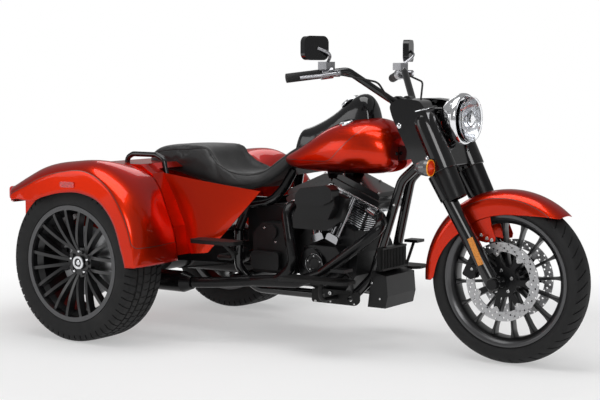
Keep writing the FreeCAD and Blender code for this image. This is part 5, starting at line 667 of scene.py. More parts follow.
def touch(node, start, way):
    """Point and outward normal where a straight line from start first meets a node's solid, or None twice."""
    if node not in TREES:
        TREES[node] = tree_of(NODES[node].data)
    spot, normal, _, _ = TREES[node].ray_cast(Vector(start), Vector(way).normalized())
    return (None, None) if spot is None else (np.array(spot), np.array(normal))


def from_side(node, x, z, side):
    """Point of a node's solid that a line across the trike meets first, coming from one side."""
    return touch(node, (x, side, z), (0, -side, 0))[0]


def bolt(spot, way, radius=0.0055, height=0.005):
    """Socket-head bolt: a turned head with a hole in it, its foot a little inside what it holds."""
    radii = radius * np.array((0, 0.5, 0.52, 0.86, 1, 1, 0))
    heights = np.append(height * np.array((0.4, 0.4, 1, 1, 0.82)), (-0.0015, -0.0015))
    return lathe(np.stack([radii, heights], 1), spot, way, 18)


def bolts_on(name, node, starts, way):
    """Bolts where lines from the given points, all going the same way, meet a node's solid."""
    spots = [touch(node, start, way)[0] for start in starts]
    heads = [bolt(spot, -np.asarray(way, float)) for spot in spots if spot is not None]
    return piece(name, node, "aluminium", STEEL, heads)


print("touch, bolts and rounded solids are ready")

# %% [markdown]
# ## Rear fenders
#
# A trike's fender is pressed or moulded in one crowned shell: a nearly upright side round the wheel, a character
# line with a pinstripe on it, a full shoulder, and a slope down to the body. The CAD model holds that form with
# straight steps across it. Here the same table of radii is joined by smooth curves, so that the paint can show
# long, quiet reflections. Subdividing the CAD mesh would not do, because its triangles are loose and uneven.

# %% The fender's table: angle in degrees, then the radii of arch, line, crown and valley in tyre radii
FENDER_ROWS = np.array([
    (2.5, 1.05, 1.185, 1.222, 1.16), (16, 1.02, 1.195, 1.277, 1.175), (35, 1.045, 1.23, 1.338, 1.215),
    (53, 1.043, 1.272, 1.375, 1.33), (68, 0.985, 1.265, 1.378, 1.305), (90, 0.908, 1.166, 1.290, 1.215),
    (110, 0.895, 1.132, 1.286, 1.245), (124, 0.935, 1.148, 1.304, 1.30), (133, 1.09, 1.20, 1.345, 1.35),
    (142, 1.24, 1.262, 1.43, 1.40)])
FRONT_EDGE, FENDER_END, FINE = 2.5, 142.01, 0.25
TYRE_R = 0.325
ARCH_OUT, LINE_OUT, CROWN_OUT, TUB_OUT = 0.690, 0.687, 0.604, 0.400
TAIL_BACK, TAIL_FOOT, CORNER_IN, CORNER_ON = 0.34775, 0.561, 0.080, 0.073


def fender_radii(angles):
    """Radii of the arch, line, crown and valley at each angle: cubic pieces with slopes from both neighbours."""
    known, table = FENDER_ROWS[:, 0], FENDER_ROWS[:, 1:] * TYRE_R
    steps = np.diff(known)[:, None]
    slopes = np.diff(table, axis=0) / steps
    middle = (slopes[:-1] * steps[1:] + slopes[1:] * steps[:-1]) / (steps[:-1] + steps[1:])
    tangents = np.concatenate([slopes[:1], middle, slopes[-1:]])
    i = np.clip(np.searchsorted(known, angles, side="right") - 1, 0, len(known) - 2)
    h = steps[i]
    return hermite(table[i], table[i + 1], h * tangents[i], h * tangents[i + 1],
                   (angles[:, None] - known[i][:, None]) / h)


def fender_sections(angles):
    """(out, radius) across the fender at each angle: up the side to the line, over the shoulder, in to the body."""
    arch, line, crown, valley = (column[:, None] for column in fender_radii(angles).T)
    u1, u2, u3 = np.linspace(0, 1, 7)[:-1], np.linspace(0, 1, 15)[:-1], np.linspace(0, 1, 15)
    rise, fall, wide, deep = crown - line, valley - crown, LINE_OUT - CROWN_OUT, CROWN_OUT - TUB_OUT
    out = [ARCH_OUT + (LINE_OUT - ARCH_OUT) * u1,
           hermite(LINE_OUT, CROWN_OUT, -0.25 * wide, -1.25 * wide, u2),
           hermite(CROWN_OUT, TUB_OUT, -1.1 * deep, -1.0 * deep, u3)]
    radius = [arch + (line - arch) * u1, hermite(line, crown, 1.35 * rise, 0.16 * rise, u2),
              hermite(crown, valley, 0.24 * rise, 1.1 * fall, u3)]
    return np.concatenate([part + 0 * arch for part in out], 1), np.concatenate(radius, 1)


def in_corner(out):
    """How far a place across the fender lies in the tail's slanted outer corner, from 0 to 1."""
    return np.maximum(out - (ARCH_OUT - CORNER_IN), 0) / CORNER_IN


def tail_plane(out):
    """Distance behind the axle of the tail at a place across the fender: flat, with a slanted outer corner."""
    return TAIL_BACK - in_corner(out) * CORNER_ON


# %% The shell as a grid
def fender_grid(side, rows=96, drops=5):
    """Points (angle, across) from the front edge to the tail, then down the tail; and each point's line pair."""
    fine = np.arange(FRONT_EDGE, FENDER_END, FINE)
    out, radius = fender_sections(fine)
    past = np.argmax(-radius * np.cos(np.radians(fine))[:, None] >= tail_plane(out), axis=0)
    ends = fine[np.where(past == 0, len(fine) - 1, past)]
    angles = FRONT_EDGE + (ends[None] - FRONT_EDGE) * np.linspace(0, 1, rows)[:, None]
    i = (angles - FRONT_EDGE) / FINE
    low = np.clip(i.astype(int), 0, len(fine) - 2)
    column, part = np.arange(out.shape[1])[None], i - low
    out, radius = (table[low, column] * (1 - part) + table[low + 1, column] * part for table in (out, radius))
    turn = np.radians(angles)
    x, z = radius * np.cos(turn), TYRE_R + radius * np.sin(turn)
    x[-1] = -tail_plane(out[-1])
    foot = TAIL_FOOT + in_corner(out[-1]) * 0.0146
    drop = np.linspace(0, 1, drops + 1)[1:, None]
    tail_z = z[-1] * (1 - drop) + np.minimum(foot, z[-1] - 0.002) * drop
    lift = np.hypot(np.diff(radius, axis=1), np.diff(out, axis=1)).cumsum(1)
    lift = np.concatenate([np.zeros((rows, 1)), lift], 1)
    lift = np.concatenate([lift - lift[:, 6:7], np.full((drops, lift.shape[1]), 0.5)])
    x, y = (np.concatenate([table, np.repeat(table[-1:], drops, 0)]) for table in (x, out))
    z = np.concatenate([z, tail_z])
    return np.stack([x + REAR_AXLE, y * side, z], -1), np.stack([lift, z], -1).reshape(-1, 2)


# %% [markdown]
# ### Paint with a pinstripe
#
# The stripe follows the character line, turns round near the front edge and runs in along the bottom. It could be
# a thin strip of mesh, but paint lies in the surface, so a mask does it: every point carries its distance from
# the line and its height, and the stripe is where a rounded corner drawn in those two numbers is nearly zero.

# %% Striped paint
def pinstripe(above, height, corner, half):
    """1 on the stripe: the distance to a rounded corner whose two sides are above = 0 and height = 0."""
    a, b = corner - above, corner - height
    gap = (a.most(b).least(0.0) + a.most(0.0).hypot(b.most(0.0)) - corner).size()
    return 1.0 - gap.step(half * 0.75, half * 1.25)


def fender_paint(name, corner=True):
    """The trike's paint, with the stripe mixed over it."""
    finish = Finish(name, **CLEAR_COAT)
    above, height, _ = finish.split(finish.node("ShaderNodeUVMap", {"uv_map": "lines"}))
    if corner:
        return paint(finish, pinstripe(above, height - 0.418, 0.028, 0.0014))
    return paint(finish, 1.0 - above.size().step(0.0010, 0.0017))


finish = Finish("tank_paint", **CLEAR_COAT)
x, _, z = finish.axes((ahead(0.971), 0, 0.776))
stripe = pinstripe(z + 0.024, x * -0.674 + z * 0.739, 0.020, 0.0012)
coat(NODES["fuel_tank"], paint(finish, stripe * (z < 0.118) * (x > -0.285)))
FENDER_PAINT = fender_paint("striped_orange_red_paint")
for word, side in SIDES:
    points, pairs = fender_grid(side)
    node = "fender_" + word
    piece(node + "_shell", node, "red_paint", FENDER_PAINT, [surface(points, columns_close=False)],
          replaces=True, lines=pairs, shell=0.005, round_off=0.004)
print("fender grid:", points.shape)

# %% [markdown]
# ### Front fender
#
# The front fender is one pressed sheet: a round crown, sides that hang down over the tyre, and a lower edge that
# runs nearly level to the tip. It could be a bent plane, but here each section is the same rounded arch, started
# higher or lower on its side, so the edge line is a table of radii and the crown stays smooth.

# %% Front fender grid
EDGE_ANGLES = (48, 50, 55, 60, 65, 74, 82, 94, 108, 122, 136, 145, 164, 177, 181, 183)
EDGE_RADII = mm("336 327 311 295 281 265 257 250 246 245 249 257 273 282 286 300")[0]
SKIRT_OUT, LINE_R = 0.0815, 0.3165


def front_fender_grid(rows=110, columns=23):
    """Points (angle, across): an upright side and a quarter of a superellipse, mirrored at the middle."""
    arch = np.linspace(0, np.pi / 2, 60)
    out = np.append(SKIRT_OUT, SKIRT_OUT * np.cos(arch) ** 0.8)
    radius = np.append(0.230, 0.288 + 0.0575 * np.sin(arch) ** 0.8)
    length = np.append(0, np.hypot(np.diff(out), np.diff(radius)).cumsum())
    angles = np.linspace(EDGE_ANGLES[0], EDGE_ANGLES[-1], rows)
    start = np.interp(np.interp(angles, EDGE_ANGLES, EDGE_RADII), radius, length)[:, None]
    along = start + (length[-1] - start) * np.linspace(0, 1, columns)[None]
    halves = ((np.interp(along, length, out), -1), (np.interp(along, length, radius), 1),
              (along - np.interp(LINE_R, radius, length), 1))
    y, r, above = (np.concatenate([half, sign * half[:, -2::-1]], 1) for half, sign in halves)
    return about(FRONT_HUB, r, np.radians(angles)[:, None], -y), np.stack([above, r], -1).reshape(-1, 2)


def plate(outline, low, high):
    """Flat plate square to Y: both faces fan out from the outline's middle, and a wall joins them."""
    middle = np.broadcast_to(outline.mean(0), outline.shape)
    return surface(np.stack([np.insert(line, 1, level, 1) for line, level in
                             ((middle, low), (outline, low), (outline, high), (middle, high))]))


points, pairs = front_fender_grid()
piece("front_fender_shell", "front_fender", "red_paint", fender_paint("front_fender_paint", corner=False),
      [surface(points, columns_close=False)], replaces=True, lines=pairs, shell=0.003)
STAY = mm("1530 578, 1622 574, 1628 528, 1646 488, 1643 471, 1606 464, 1572 470, 1540 520") + (REAR_AXLE, 0)
piece("front_fender_stays", "front_fender", "red_paint", PAINT,
      [plate(STAY, *sorted((0.0735 * k, 0.0780 * k))) for k in (-1, 1)], round_off=0.002)
STAY_BOLTS = mm("1588 79 492, 1612 77.8 481, 1632 77.8 476") + (REAR_AXLE, 0, 0)
piece("front_fender_bolts", "front_fender", "aluminium", STEEL,
      [bolt(spot * (1, k, 1), (0, k, 0), 0.007, 0.007) for k in (-1, 1) for spot in STAY_BOLTS])
print("front fender grid:", points.shape)

# %% [markdown]
# ## Tyres
#
# A car-type tyre on each rear wheel has round grooves and a slot from every block edge over the shoulder. The
# front one is a motorcycle tyre: slanted grooves start near its middle and run out, turn about on each side. The
# tread could be a bump, but its edge would stay smooth, so it is cut into the mesh. The grid leans with the
# grooves and has a line on each groove edge, which keeps the edges crisp with few faces.

# %% A tyre's grid
def tyre(node, middle, half, tread, pitches, fractions, depth, lean):
    """Closed ring: a half profile of (radius, out) mirrored, turned, and pushed in along its normal by depth.

    Rows go round in pitches, each cut at the same fractions; lean shifts a column along the tread."""
    profile = np.concatenate([half, half[::-1] * (1, -1)])
    profile = profile[np.append(True, np.linalg.norm(np.diff(profile, axis=0), axis=1) > 1e-5)]
    normal = unit(np.gradient(profile, axis=0)[:, ::-1] * (-1, 1))
    normal *= np.sign((normal * (profile - (half[:, 0].mean(), 0))).sum(1))[:, None]
    row = (np.arange(pitches)[:, None] + np.asarray(fractions)[None]).ravel()
    radius, out = profile.T[:, None]
    cut = depth(np.tile(fractions, pitches)[:, None], out) * (radius > tread)
    turn = (row[:, None] + lean(np.abs(out))) * 2 * np.pi / pitches
    points = about(middle, radius - cut * normal[:, 0], turn, out - cut * normal[:, 1])
    made = piece(node + "_treaded", node, "tyre", RUBBER, [surface(points, rows_close=True)], replaces=True,
                 sharp=28.0)
    print(node, "faces:", len(made.data.polygons))


def within(value, low, high):
    """1 between two limits, both included, and 0 outside."""
    return ((value > low - 1e-9) & (value < high + 1e-9)).astype(float)


# %% Rear tyres
REAR_WALL = smooth_line(mm("228.6 94.7, 240.3 94.7, 243.7 102.1, 259 106, 275.9 107.3, 295 106.2, 311 101.5,"
                           "319.5 94"), 22)
REAR_OUTS = mm("88 80 71 62.5 61.5 55 54 47 40 33 27 26 19.5 18.5 9 .01")[0]
REAR_TREAD = np.stack([0.32495 - 0.0016 * (REAR_OUTS / 0.088) ** 2 - 0.0022 * (REAR_OUTS / 0.088) ** 8,
                       REAR_OUTS], 1)


def rear_depth(fraction, out):
    """Two round grooves a side; slots over both shoulders, shorter ones in the ribs, half a pitch apart."""
    out = np.abs(out)
    slot, rib_slot = within(fraction, 0.03, 0.13), within(fraction, 0.53, 0.63)
    grooves = within(out, 0.055, 0.0615) + within(out, 0.0195, 0.026)
    return np.maximum.reduce([grooves * 0.007 + 0 * fraction, slot * within(out, 0.0625, 0.108) * 0.0055,
                              rib_slot * within(out, 0.026, 0.055) * 0.005,
                              slot * within(out, 0, 0.0195) * 0.003])


for word, hub in REAR_HUBS.items():
    tyre("rear_tyre_" + word, hub, np.concatenate([REAR_WALL, REAR_TREAD]), 0.300, 62,
         (0.0, 0.03, 0.13, 0.16, 0.34, 0.5, 0.53, 0.63, 0.66, 0.84), rear_depth,
         lambda out: 0.9 * out / 0.088)

# %% Front tyre
FRONT_HALF = smooth_line(mm("241.3 42.7, 253.3 42.7, 256.6 54.6, 268 63.2, 277 64.9, 289 62, 299.3 55.5,"
                            "307 45.5, 313.5 32.2, 317.5 18, 318.85 8, 318.93 .1"), 46)


def front_depth(fraction, out):
    """A slanted groove on each side, half a pitch apart, that fades out at both ends."""
    left, right = within(fraction, 0.03, 0.12) * (out > 0), within(fraction, 0.53, 0.62) * (out < 0)
    reach = np.clip((np.abs(out) - 0.010) / 0.005, 0, 1) * np.clip((0.0585 - np.abs(out)) / 0.006, 0, 1)
    return (left + right) * reach * 0.0045


tyre("front_tyre", FRONT_HUB, FRONT_HALF, 0.286, 44,
     (0.0, 0.03, 0.12, 0.15, 0.32, 0.5, 0.53, 0.62, 0.65, 0.82), front_depth,
     lambda out: -1.1 * (out / 0.065) ** 1.2)

# %% [markdown]
# ## Drilled front discs
#
# Each front disc is a bright swept ring with drilled holes, held by rivets to a black carrier. Holes could be cut
# with booleans, one cylinder each. Here one cell of the ring is a grid that runs from a hole's edge out to the
# cell's border, and the cell is repeated round the wheel's axis, which is clean and takes no time.

# %% One drilled cell
CIRCLE = np.stack([np.cos(turns(16, np.pi / 16)), np.sin(turns(16, np.pi / 16))])
SQUARE = CIRCLE / np.abs(CIRCLE).max(0)


def drilled_ring(middle, edges, rules, cells, hole_r, low, high):
    """Flat ring of cells: a hole's circle fades into its cell's border, on both faces, with the hole's wall.

    The edges are the radii between the rows of cells, and a row's rule says which cell of three holds a hole."""
    number, parts = np.arange(cells), []
    for near, far, rule in zip(edges[:-1], edges[1:], rules):
        centre, half = (near + far) / 2, (far - near) / 2
        for holed in (True, False):
            chosen = number[(number % 3 == rule) == holed]
            hole = CIRCLE * hole_r * holed
            radius = np.stack([centre + hole[0], centre + SQUARE[0] * half])
            angles = np.stack([hole[1] / centre, SQUARE[1] * np.pi / cells])
            angles = angles + (chosen * 2 * np.pi / cells)[:, None, None]
            faces = [about(middle, radius, angles, level) for level in (low, high)]
            wall = [np.stack([face[:, 0] for face in faces], 1)] if holed else []
            parts += [surface(grid) for grids in faces + wall for grid in grids]
    return parts


def ring_edge(middle, radius, low, high, cells):
    """Wall of the ring's outer or inner edge, with a point wherever a cell's border has one."""
    on_edge = np.sort(SQUARE[1, np.abs(SQUARE[0] - 1) < 1e-9])
    turn = (turns(cells)[:, None] + on_edge * np.pi / cells).ravel()
    return surface(np.stack([about(middle, radius, turn, level) for level in (low, high)]))


# %% Discs, tabs, carriers and rivets
TABS, CELLS, RING_IN, RING_OUT, HOLE_R, DISC_OUT = 7, 54, 0.115, 0.150, 0.0041, 0.0685
RING_EDGES, HOLE_RULES = np.linspace(RING_IN, RING_OUT, 5), (0, 1, 2, 0)
RIVET = mm("0 3.2, 3.6 3.2, 4.4 2.4, 4.4 .9, 6.8 .9, 7.4 .4, 7.4 -.8, 0 -.8")


def washer(middle, inner, outer, low, high, steps=280):
    """Flat ring whose two radii are functions of the angle, closed by its walls."""
    turn = turns(steps)
    section = ((inner, low), (outer, low), (outer, high), (inner, high), (inner, low))
    return surface(np.stack([about(middle, radius(turn), turn, level) for radius, level in section]))


def arm(turn, start, width):
    """0 between the carrier's arms and 1 on them."""
    return np.clip((0.5 + 0.5 * np.cos(TABS * turn) - start) / width, 0, 1)


for word, side in SIDES:
    low, high = sorted((0.0635 * side, DISC_OUT * side))
    ring = drilled_ring(FRONT_HUB, RING_EDGES, HOLE_RULES, CELLS, HOLE_R, low, high)
    ring += [ring_edge(FRONT_HUB, radius, low, high, CELLS) for radius in (RING_IN, RING_OUT)]
    tabs = washer(FRONT_HUB, lambda turn: 0.1145 - 0.0145 * np.sqrt(arm(turn, 0.80, 0.20)),
                  lambda turn: RING_IN, low + 0.0004, high - 0.0004)
    disc = piece("front_disc_ring_" + word, "front_discs", "disc_steel", DISC, ring + [tabs],
                 replaces=side < 0, sharp=30.0)
    hub_plate = washer(FRONT_HUB, lambda turn: 0.025,
                       lambda turn: 0.060 + 0.052 * arm(turn, 0.74, 0.16) ** 0.7, low + 0.0006, high - 0.0006)
    piece("front_disc_carrier_" + word, "front_discs", "black_satin", SATIN, [hub_plate], sharp=30.0,
          round_off=0.0008)
    heads = [lathe(RIVET, spot, (0, side, 0), 20)
             for spot in about(FRONT_HUB, 0.1045, turns(TABS), DISC_OUT * side)]
    heads += [bolt(spot, (0, side, 0), 0.0065)
              for spot in about(FRONT_HUB, 0.043, turns(5, 0.12 * np.pi), DISC_OUT * side)]
    piece("front_disc_rivets_" + word, "front_discs", "aluminium", STEEL, heads)
print("disc ring faces:", len(disc.data.polygons))

# %% [markdown]
# ## Front wheel
#
# The front wheel is a casting with sixteen slim spokes that widen where they meet the rim, so that the windows
# between them have round corners. The rim is a turned profile, and each spoke is a rounded bar whose width is a
# function of the distance from the hub.

# %% Rim, spokes and hub
SPOKES = 16
RIM = mm("226.2 .1, 226.2 26, 239 35, 240.5 42.4, 252.6 42.4, 253.4 44.5, 252.6 48.6, 243 49, 238.5 47,"
         "232 40, 222 33, 218.5 25, 218.5 .1")
HUB = mm("12.56 61.8, 36 61.8, 40 56, 42 22, 52 18")
along = np.linspace(0, 1, 16)
near_rim, near_hub = np.clip((along - 0.80) / 0.2, 0, 1), np.clip((0.25 - along) / 0.25, 0, 1)
wide = 0.0052 + 0.0075 * near_rim ** 2 + 0.003 * near_hub
parts = [ring_of(np.concatenate([RIM, RIM[::-1] * (1, -1)]), FRONT_HUB),
         ring_of(np.concatenate([HUB * (1, -1), HUB[::-1]]), FRONT_HUB, steps=64)]
parts += [bar(about(FRONT_HUB, 0.040 + 0.1835 * along, turn), wide, 0.017 + 0.006 * along ** 3, up=(0, 1, 0),
              sides=16) for turn in turns(SPOKES, 0.035 * np.pi)]
wheel = piece("front_wheel_cast", "front_wheel", "black_gloss", WHEELS["front_wheel"], parts, replaces=True)
print("front wheel faces:", len(wheel.data.polygons))

# %% [markdown]
# ## Headlamp
#
# Behind the glass sits a bright reflector of many small facets round one bulb. A mirror paraboloid alone looks
# empty, so its finish has a cell pattern in the bump, and the bulb has its glass and its metal cap. The bowl's
# chrome trim covers the top and the rim, and the rest of the bowl is gloss black: a slanted plane parts them.

# %% Bowl
LAMP, FORWARD = (ahead(1.480), 0.0, 0.926), (1, 0, 0)
finish = Finish("headlamp_trim", coat_weight=0.6, coat_roughness=0.03)
x, _, z = finish.axes(LAMP)
trim = (x + 0.006 + (z + 0.075) * 0.52).most(x + 0.0268).step(0.0, 0.0012)
TRIM = finish.done((finish.noise(90.0, 1.0), 0.00003, 0.2), metallic=trim,
                   base_color=(trim, BLACK, (0.86, 0.87, 0.89)),
                   roughness=finish.noise(12.0) * 0.03 + trim * 0.06 + 0.045)
SHELL = smooth_line(mm("0 -97.5, 30 -95.5, 58 -86, 79 -65, 89.5 -42, 92.5 -27"), 30)
BEZEL = smooth_line(mm("94.5 -26.2, 99.5 -22.5, 100 -11, 97.8 -3.5, 92.5 0, 88 -1.2, 86.5 -5"), 26)
bowl = piece("headlamp_bowl", "headlamp", "chrome", TRIM,
             [lathe(np.concatenate([SHELL, BEZEL, mm("86 -26.5, 88 -30, 0 -90")]), LAMP, FORWARD, 96)],
             replaces=True, sharp=50.0)
print("bowl faces:", len(bowl.data.polygons))

# %% Reflector and bulb
finish = Finish("headlamp_reflector", metallic=1.0)
_, y, z = finish.axes(LAMP)
# Painted shade: the reflector's colour darkens towards its centre round the bulb.
deep = (y.hypot(z) * 16.0).least(1.0)
MIRROR = finish.done(((y * 48.0).zigzag() + (z * 20.0).zigzag() * 0.6, 0.0005, 0.4),
                     base_color=(deep, (0.05, 0.05, 0.055), (0.48, 0.49, 0.51)),
                     roughness=finish.noise(40.0) * 0.05 + 0.07)
finish = Finish("headlamp_bulb", coat_weight=1.0, coat_roughness=0.01, emission_strength=0.4)
cloud = finish.noise(220.0, 2.0)
BULB = finish.done(base_color=(cloud, (0.80, 0.80, 0.78), (0.95, 0.95, 0.92)),
                   roughness=cloud * 0.1 + 0.08,
                   emission_color=(cloud, (0.30, 0.30, 0.28), (0.5, 0.5, 0.46)))
along = np.linspace(0, 1, 26)
dish = np.stack([0.016 + 0.0685 * along, -0.072 + 0.086 * along ** 2], 1)
reflector = piece("headlamp_reflector", "headlamp", "chrome", MIRROR,
                  [ring_of(np.concatenate([dish, dish[::-1] + (0.0012, -0.0012)]), LAMP, FORWARD, 72)])
piece("headlamp_bulb", "headlamp", None, BULB,
      [lathe(smooth_line(mm("0 2, 4.5 .5, 7.5 -5, 7.8 -28, 8.8 -46, 16 -52, 16.5 -73.5, 0 -73.5"), 40), LAMP,
             FORWARD, 32)])
piece("headlamp_bulb_shield", "headlamp", None, CHROME,
      [lathe(mm("0 10, 7 9.5, 11.5 6, 12.5 -2, 11.8 -2, 10.8 5.2, 6.6 8.5, 0 9"), LAMP, FORWARD, 32)])
piece("headlamp_shield_arms", "headlamp", None, CHROME,
      [tube(LAMP + mm(f"-1.5 {12.1 * k} 0, -4 {45 * k} {-0.5 * k}, -6.5 {77.5 * k} 0"), 0.0013, 10)
       for k in (-1, 1)])
print("reflector:", len(reflector.data.polygons), "faces")

# %% [markdown]
# ## Saddle
#
# The saddle is foam on a pan under a tight vinyl cover. The pillion pad stands above the rider's bucket, a welt
# runs along both edges of the top, and it drops with it into the bucket. The form is a table of stations along X,
# each a rounded loop. It is remeshed evenly and blown up a little as cloth, which fills it like foam, and the
# grooves beside the welt, the welt and its stitches come after, because the remesh would wipe them out.

# %% Stations of the saddle: place along X, welt out and up, top, low edge out and up
STATIONS = mm("-16 88 738 742 86 716, 8 124 750 765 134 706, 60 149 767 784 160 700, 130 154 778 792 165 688,"
              "220 149 784 795 166 668, 285 137 787 790 166 652, 322 130 780 768 165 645,"
              "350 132 752 728 165 638, 385 140 720 694 166 632, 430 148 700 678 172 624,"
              "490 151 687 672 176 622, 550 134 685 678 160 628, 600 111 699 700 136 646,"
              "642 88 733 738 108 676, 692 66 774 781 83 722, 735 50 806 813 61 766,"
              "763 38 822 826 43 796")
WELT = smooth_line(STATIONS[1:-1, :3], 260) + (REAR_AXLE, 0, 0)


def seat_form(rows=110):
    """Loops round the saddle: flat below, a full side, the welt's shoulder, and a top between the two welts."""
    loops = []
    for x, welt_out, welt_up, top, low_out, low in smooth_line(STATIONS, rows):
        tall = welt_up - low
        half = smooth_line([(0, low + 0.004), (low_out * 0.7, low), (low_out * 0.97, low + 0.10 * tall),
                            (low_out, low + 0.38 * tall),
                            (welt_out * 0.35 + low_out * 0.65, low + 0.72 * tall),
                            (welt_out, welt_up), (welt_out * 0.74, 0.25 * welt_up + 0.75 * top),
                            (welt_out * 0.36, top), (0, top)], 33)
        loops.append(np.insert(np.concatenate([half, half[-2:0:-1] * (-1, 1)]), 0, ahead(x), 1))
    return capped([loop.mean(0) for loop in loops], np.stack(loops))


# %% Filling it as cloth
def evaluated(obj):
    return obj.evaluated_get(bpy.context.evaluated_depsgraph_get())


def coordinates(mesh):
    flat = np.empty(len(mesh.vertices) * 3, np.float32)
    mesh.vertices.foreach_get("co", flat)
    return flat.reshape(-1, 3)


def filled(obj, voxel=0.0055, pressure=4.0, cap=0.006):
    """Even faces, then twenty steps of cloth under pressure without gravity; no point moves past the cap."""
    even = obj.modifiers.new("even", "REMESH")
    even.mode, even.voxel_size, even.use_smooth_shade = "VOXEL", voxel, True
    solid = bpy.data.meshes.new_from_object(evaluated(obj))
    obj.modifiers.clear()
    obj.data = solid
    before = coordinates(solid)
    cloth = obj.modifiers.new("cover", "CLOTH")
    cloth.settings.use_pressure, cloth.settings.uniform_pressure_force = True, pressure
    cloth.settings.effector_weights.gravity = 0
    for step in range(1, 21):
        scene.frame_set(step)
    shift = coordinates(evaluated(obj).to_mesh()) - before
    obj.modifiers.clear()
    scene.frame_set(1)
    far = np.linalg.norm(shift, axis=1, keepdims=True)
    return before + shift * np.minimum(1, cap / np.maximum(far, 1e-9))


def grooved(points, normals, line, depth=0.0022, reach=0.005):
    """Points pushed in by depth on a line, fading to nothing over a few times the reach."""
    gap = np.linalg.norm(points[:, None] - line[None], axis=2).min(1)
    return points - normals * (depth * np.exp(-(gap / reach) ** 2))[:, None]


seat = piece("saddle", "seat", "seat_vinyl", VINYL, [seat_form()], replaces=True, sharp=180.0)
points = filled(seat)
WELTS = [WELT * (1, side, 1) for _, side in SIDES]
SEAM = smooth_line(mm("452 151 695, 500 168 672, 548 160 650, 575 148 642") + (REAR_AXLE, 0, 0), 60)
SEAMS = [SEAM * (1, side, 1) for _, side in SIDES]
normals = np.array([v.normal[:] for v in seat.data.vertices])
for line in WELTS + SEAMS:
    points = grooved(points, normals, line)
seat.data.vertices.foreach_set("co", points.astype(np.float32).ravel())
seat.data.update()
seat.data.shade_smooth()
finer = seat.modifiers.new("finer", "SUBSURF")
finer.levels = finer.render_levels = 1
coat(seat, VINYL)
print("saddle faces:", len(seat.data.polygons))

# %% Welt and stitches
STITCH, STITCH_STEP = 0.0042, 0.0062
skin = tree_of(seat.data)


def on_skin(line, lift):
    """The nearest points on the cover to a line, lifted off it."""
    found = [skin.find_nearest(Vector(p)) for p in line]
    return np.array([np.array(spot) + np.array(normal) * lift for spot, normal, _, _ in found])


piece("saddle_welt", "seat", "seat_vinyl", VINYL, [tube(on_skin(line, 0.0006), 0.0024, 10) for line in WELTS])
threads = []
for line in [welt * (1, 0.93, 1) for welt in WELTS] + SEAMS:
    way = on_skin(line, 0.0003)
    length = np.append(0, np.linalg.norm(np.diff(way, axis=0), axis=1).cumsum())
    for start in np.arange(0.004, length[-1] - 0.006, STITCH_STEP):
        at = start + np.linspace(0, STITCH, 4)
        threads.append(tube(np.stack([np.interp(at, length, column) for column in way.T], 1), 0.0005, 6))
piece("saddle_stitches", "seat", "seat_vinyl", VINYL, threads)
print("stitches:", len(threads))

# %% [markdown]
# ## Fork covers, nacelle and reflectors
#
# Black sleeves cover the fork tubes between the nacelle and the sliders. The nacelle is a pressing, so its edges
# are round: the solid's own faces are merged and bevelled. A bright strip and two chrome buttons sit on it, and an
# amber reflector on each slider.

# %% Sleeves and nacelle
LEAN, LEG_OUT = math.radians(26.0), 0.115
LEG_WAY = (-math.sin(LEAN), 0.0, math.cos(LEAN))


def leg_at(height, side, out=LEG_OUT):
    """Point of a fork leg's axis at a height."""
    return np.array((ahead(1.6533) - (height - 0.319) * math.tan(LEAN), out * side, height))


SLEEVE = mm("29.5 0, 38.5 0, 40.5 2.5, 41 40, 41.5 130, 29.5 130")
piece("fork_sleeves", "fork_legs", "black_gloss", SATIN,
      [ring_of(SLEEVE, leg_at(0.628, side), LEG_WAY, 56) for _, side in SIDES])
SHROUD = smooth_line(mm("30 0, 45.5 1, 47.5 12, 48 60, 48 130, 47 190, 42.5 218, 30 232, 0 236"), 60)
SHROUD = np.concatenate([SHROUD, mm("0 200, 30 200")])
piece("fork_shrouds", "nacelle", "black_gloss", GLOSS,
      [ring_of(SHROUD, leg_at(0.734, side), LEG_WAY, 64) for _, side in SIDES], sharp=50.0)
nacelle = softened("nacelle", "black_gloss", GLOSS, 0.018, segments=5, angle=20.0)
print("nacelle faces:", len(nacelle.data.polygons))

# %% Reflectors and buttons
along = np.linspace(0, 1, 12)[:, None]
bars, buttons = [], []
for _, side in SIDES:
    low, high = (leg_at(height, side, LEG_OUT + 0.0292) for height in (0.388, 0.486))
    bars.append(bar(low + (high - low) * along, 0.0115, 0.0035, up=(0, 1, 0)))
    for x, z in ((1.268, 0.900), (1.395, 0.778)):
        spot = from_side("nacelle", ahead(x), z, side)
        buttons.append(lathe(mm("0 6.5, 7 5.8, 10.5 3.2, 11.5 -1, 0 -1"), spot, (0, side, 0), 24))
piece("fork_reflectors", "fork_legs", "amber_lens", AMBER_WITH_PAINTED_GLOW, bars)
piece("nacelle_buttons", "nacelle", "chrome", CHROME, buttons)
print("reflectors and buttons:", len(bars), len(buttons))

# %% [markdown]
# ## Engine covers, bolts and hoses
#
# The covers are castings with rounded edges and a glossy black coat. A thin machined joint shows under each rocker
# box, and socket-head bolts hold the covers. The bolts sit where a line from outside meets the solid, so each one
# has its foot on its cover. Behind them a wiring loom and a coil run under the tank.

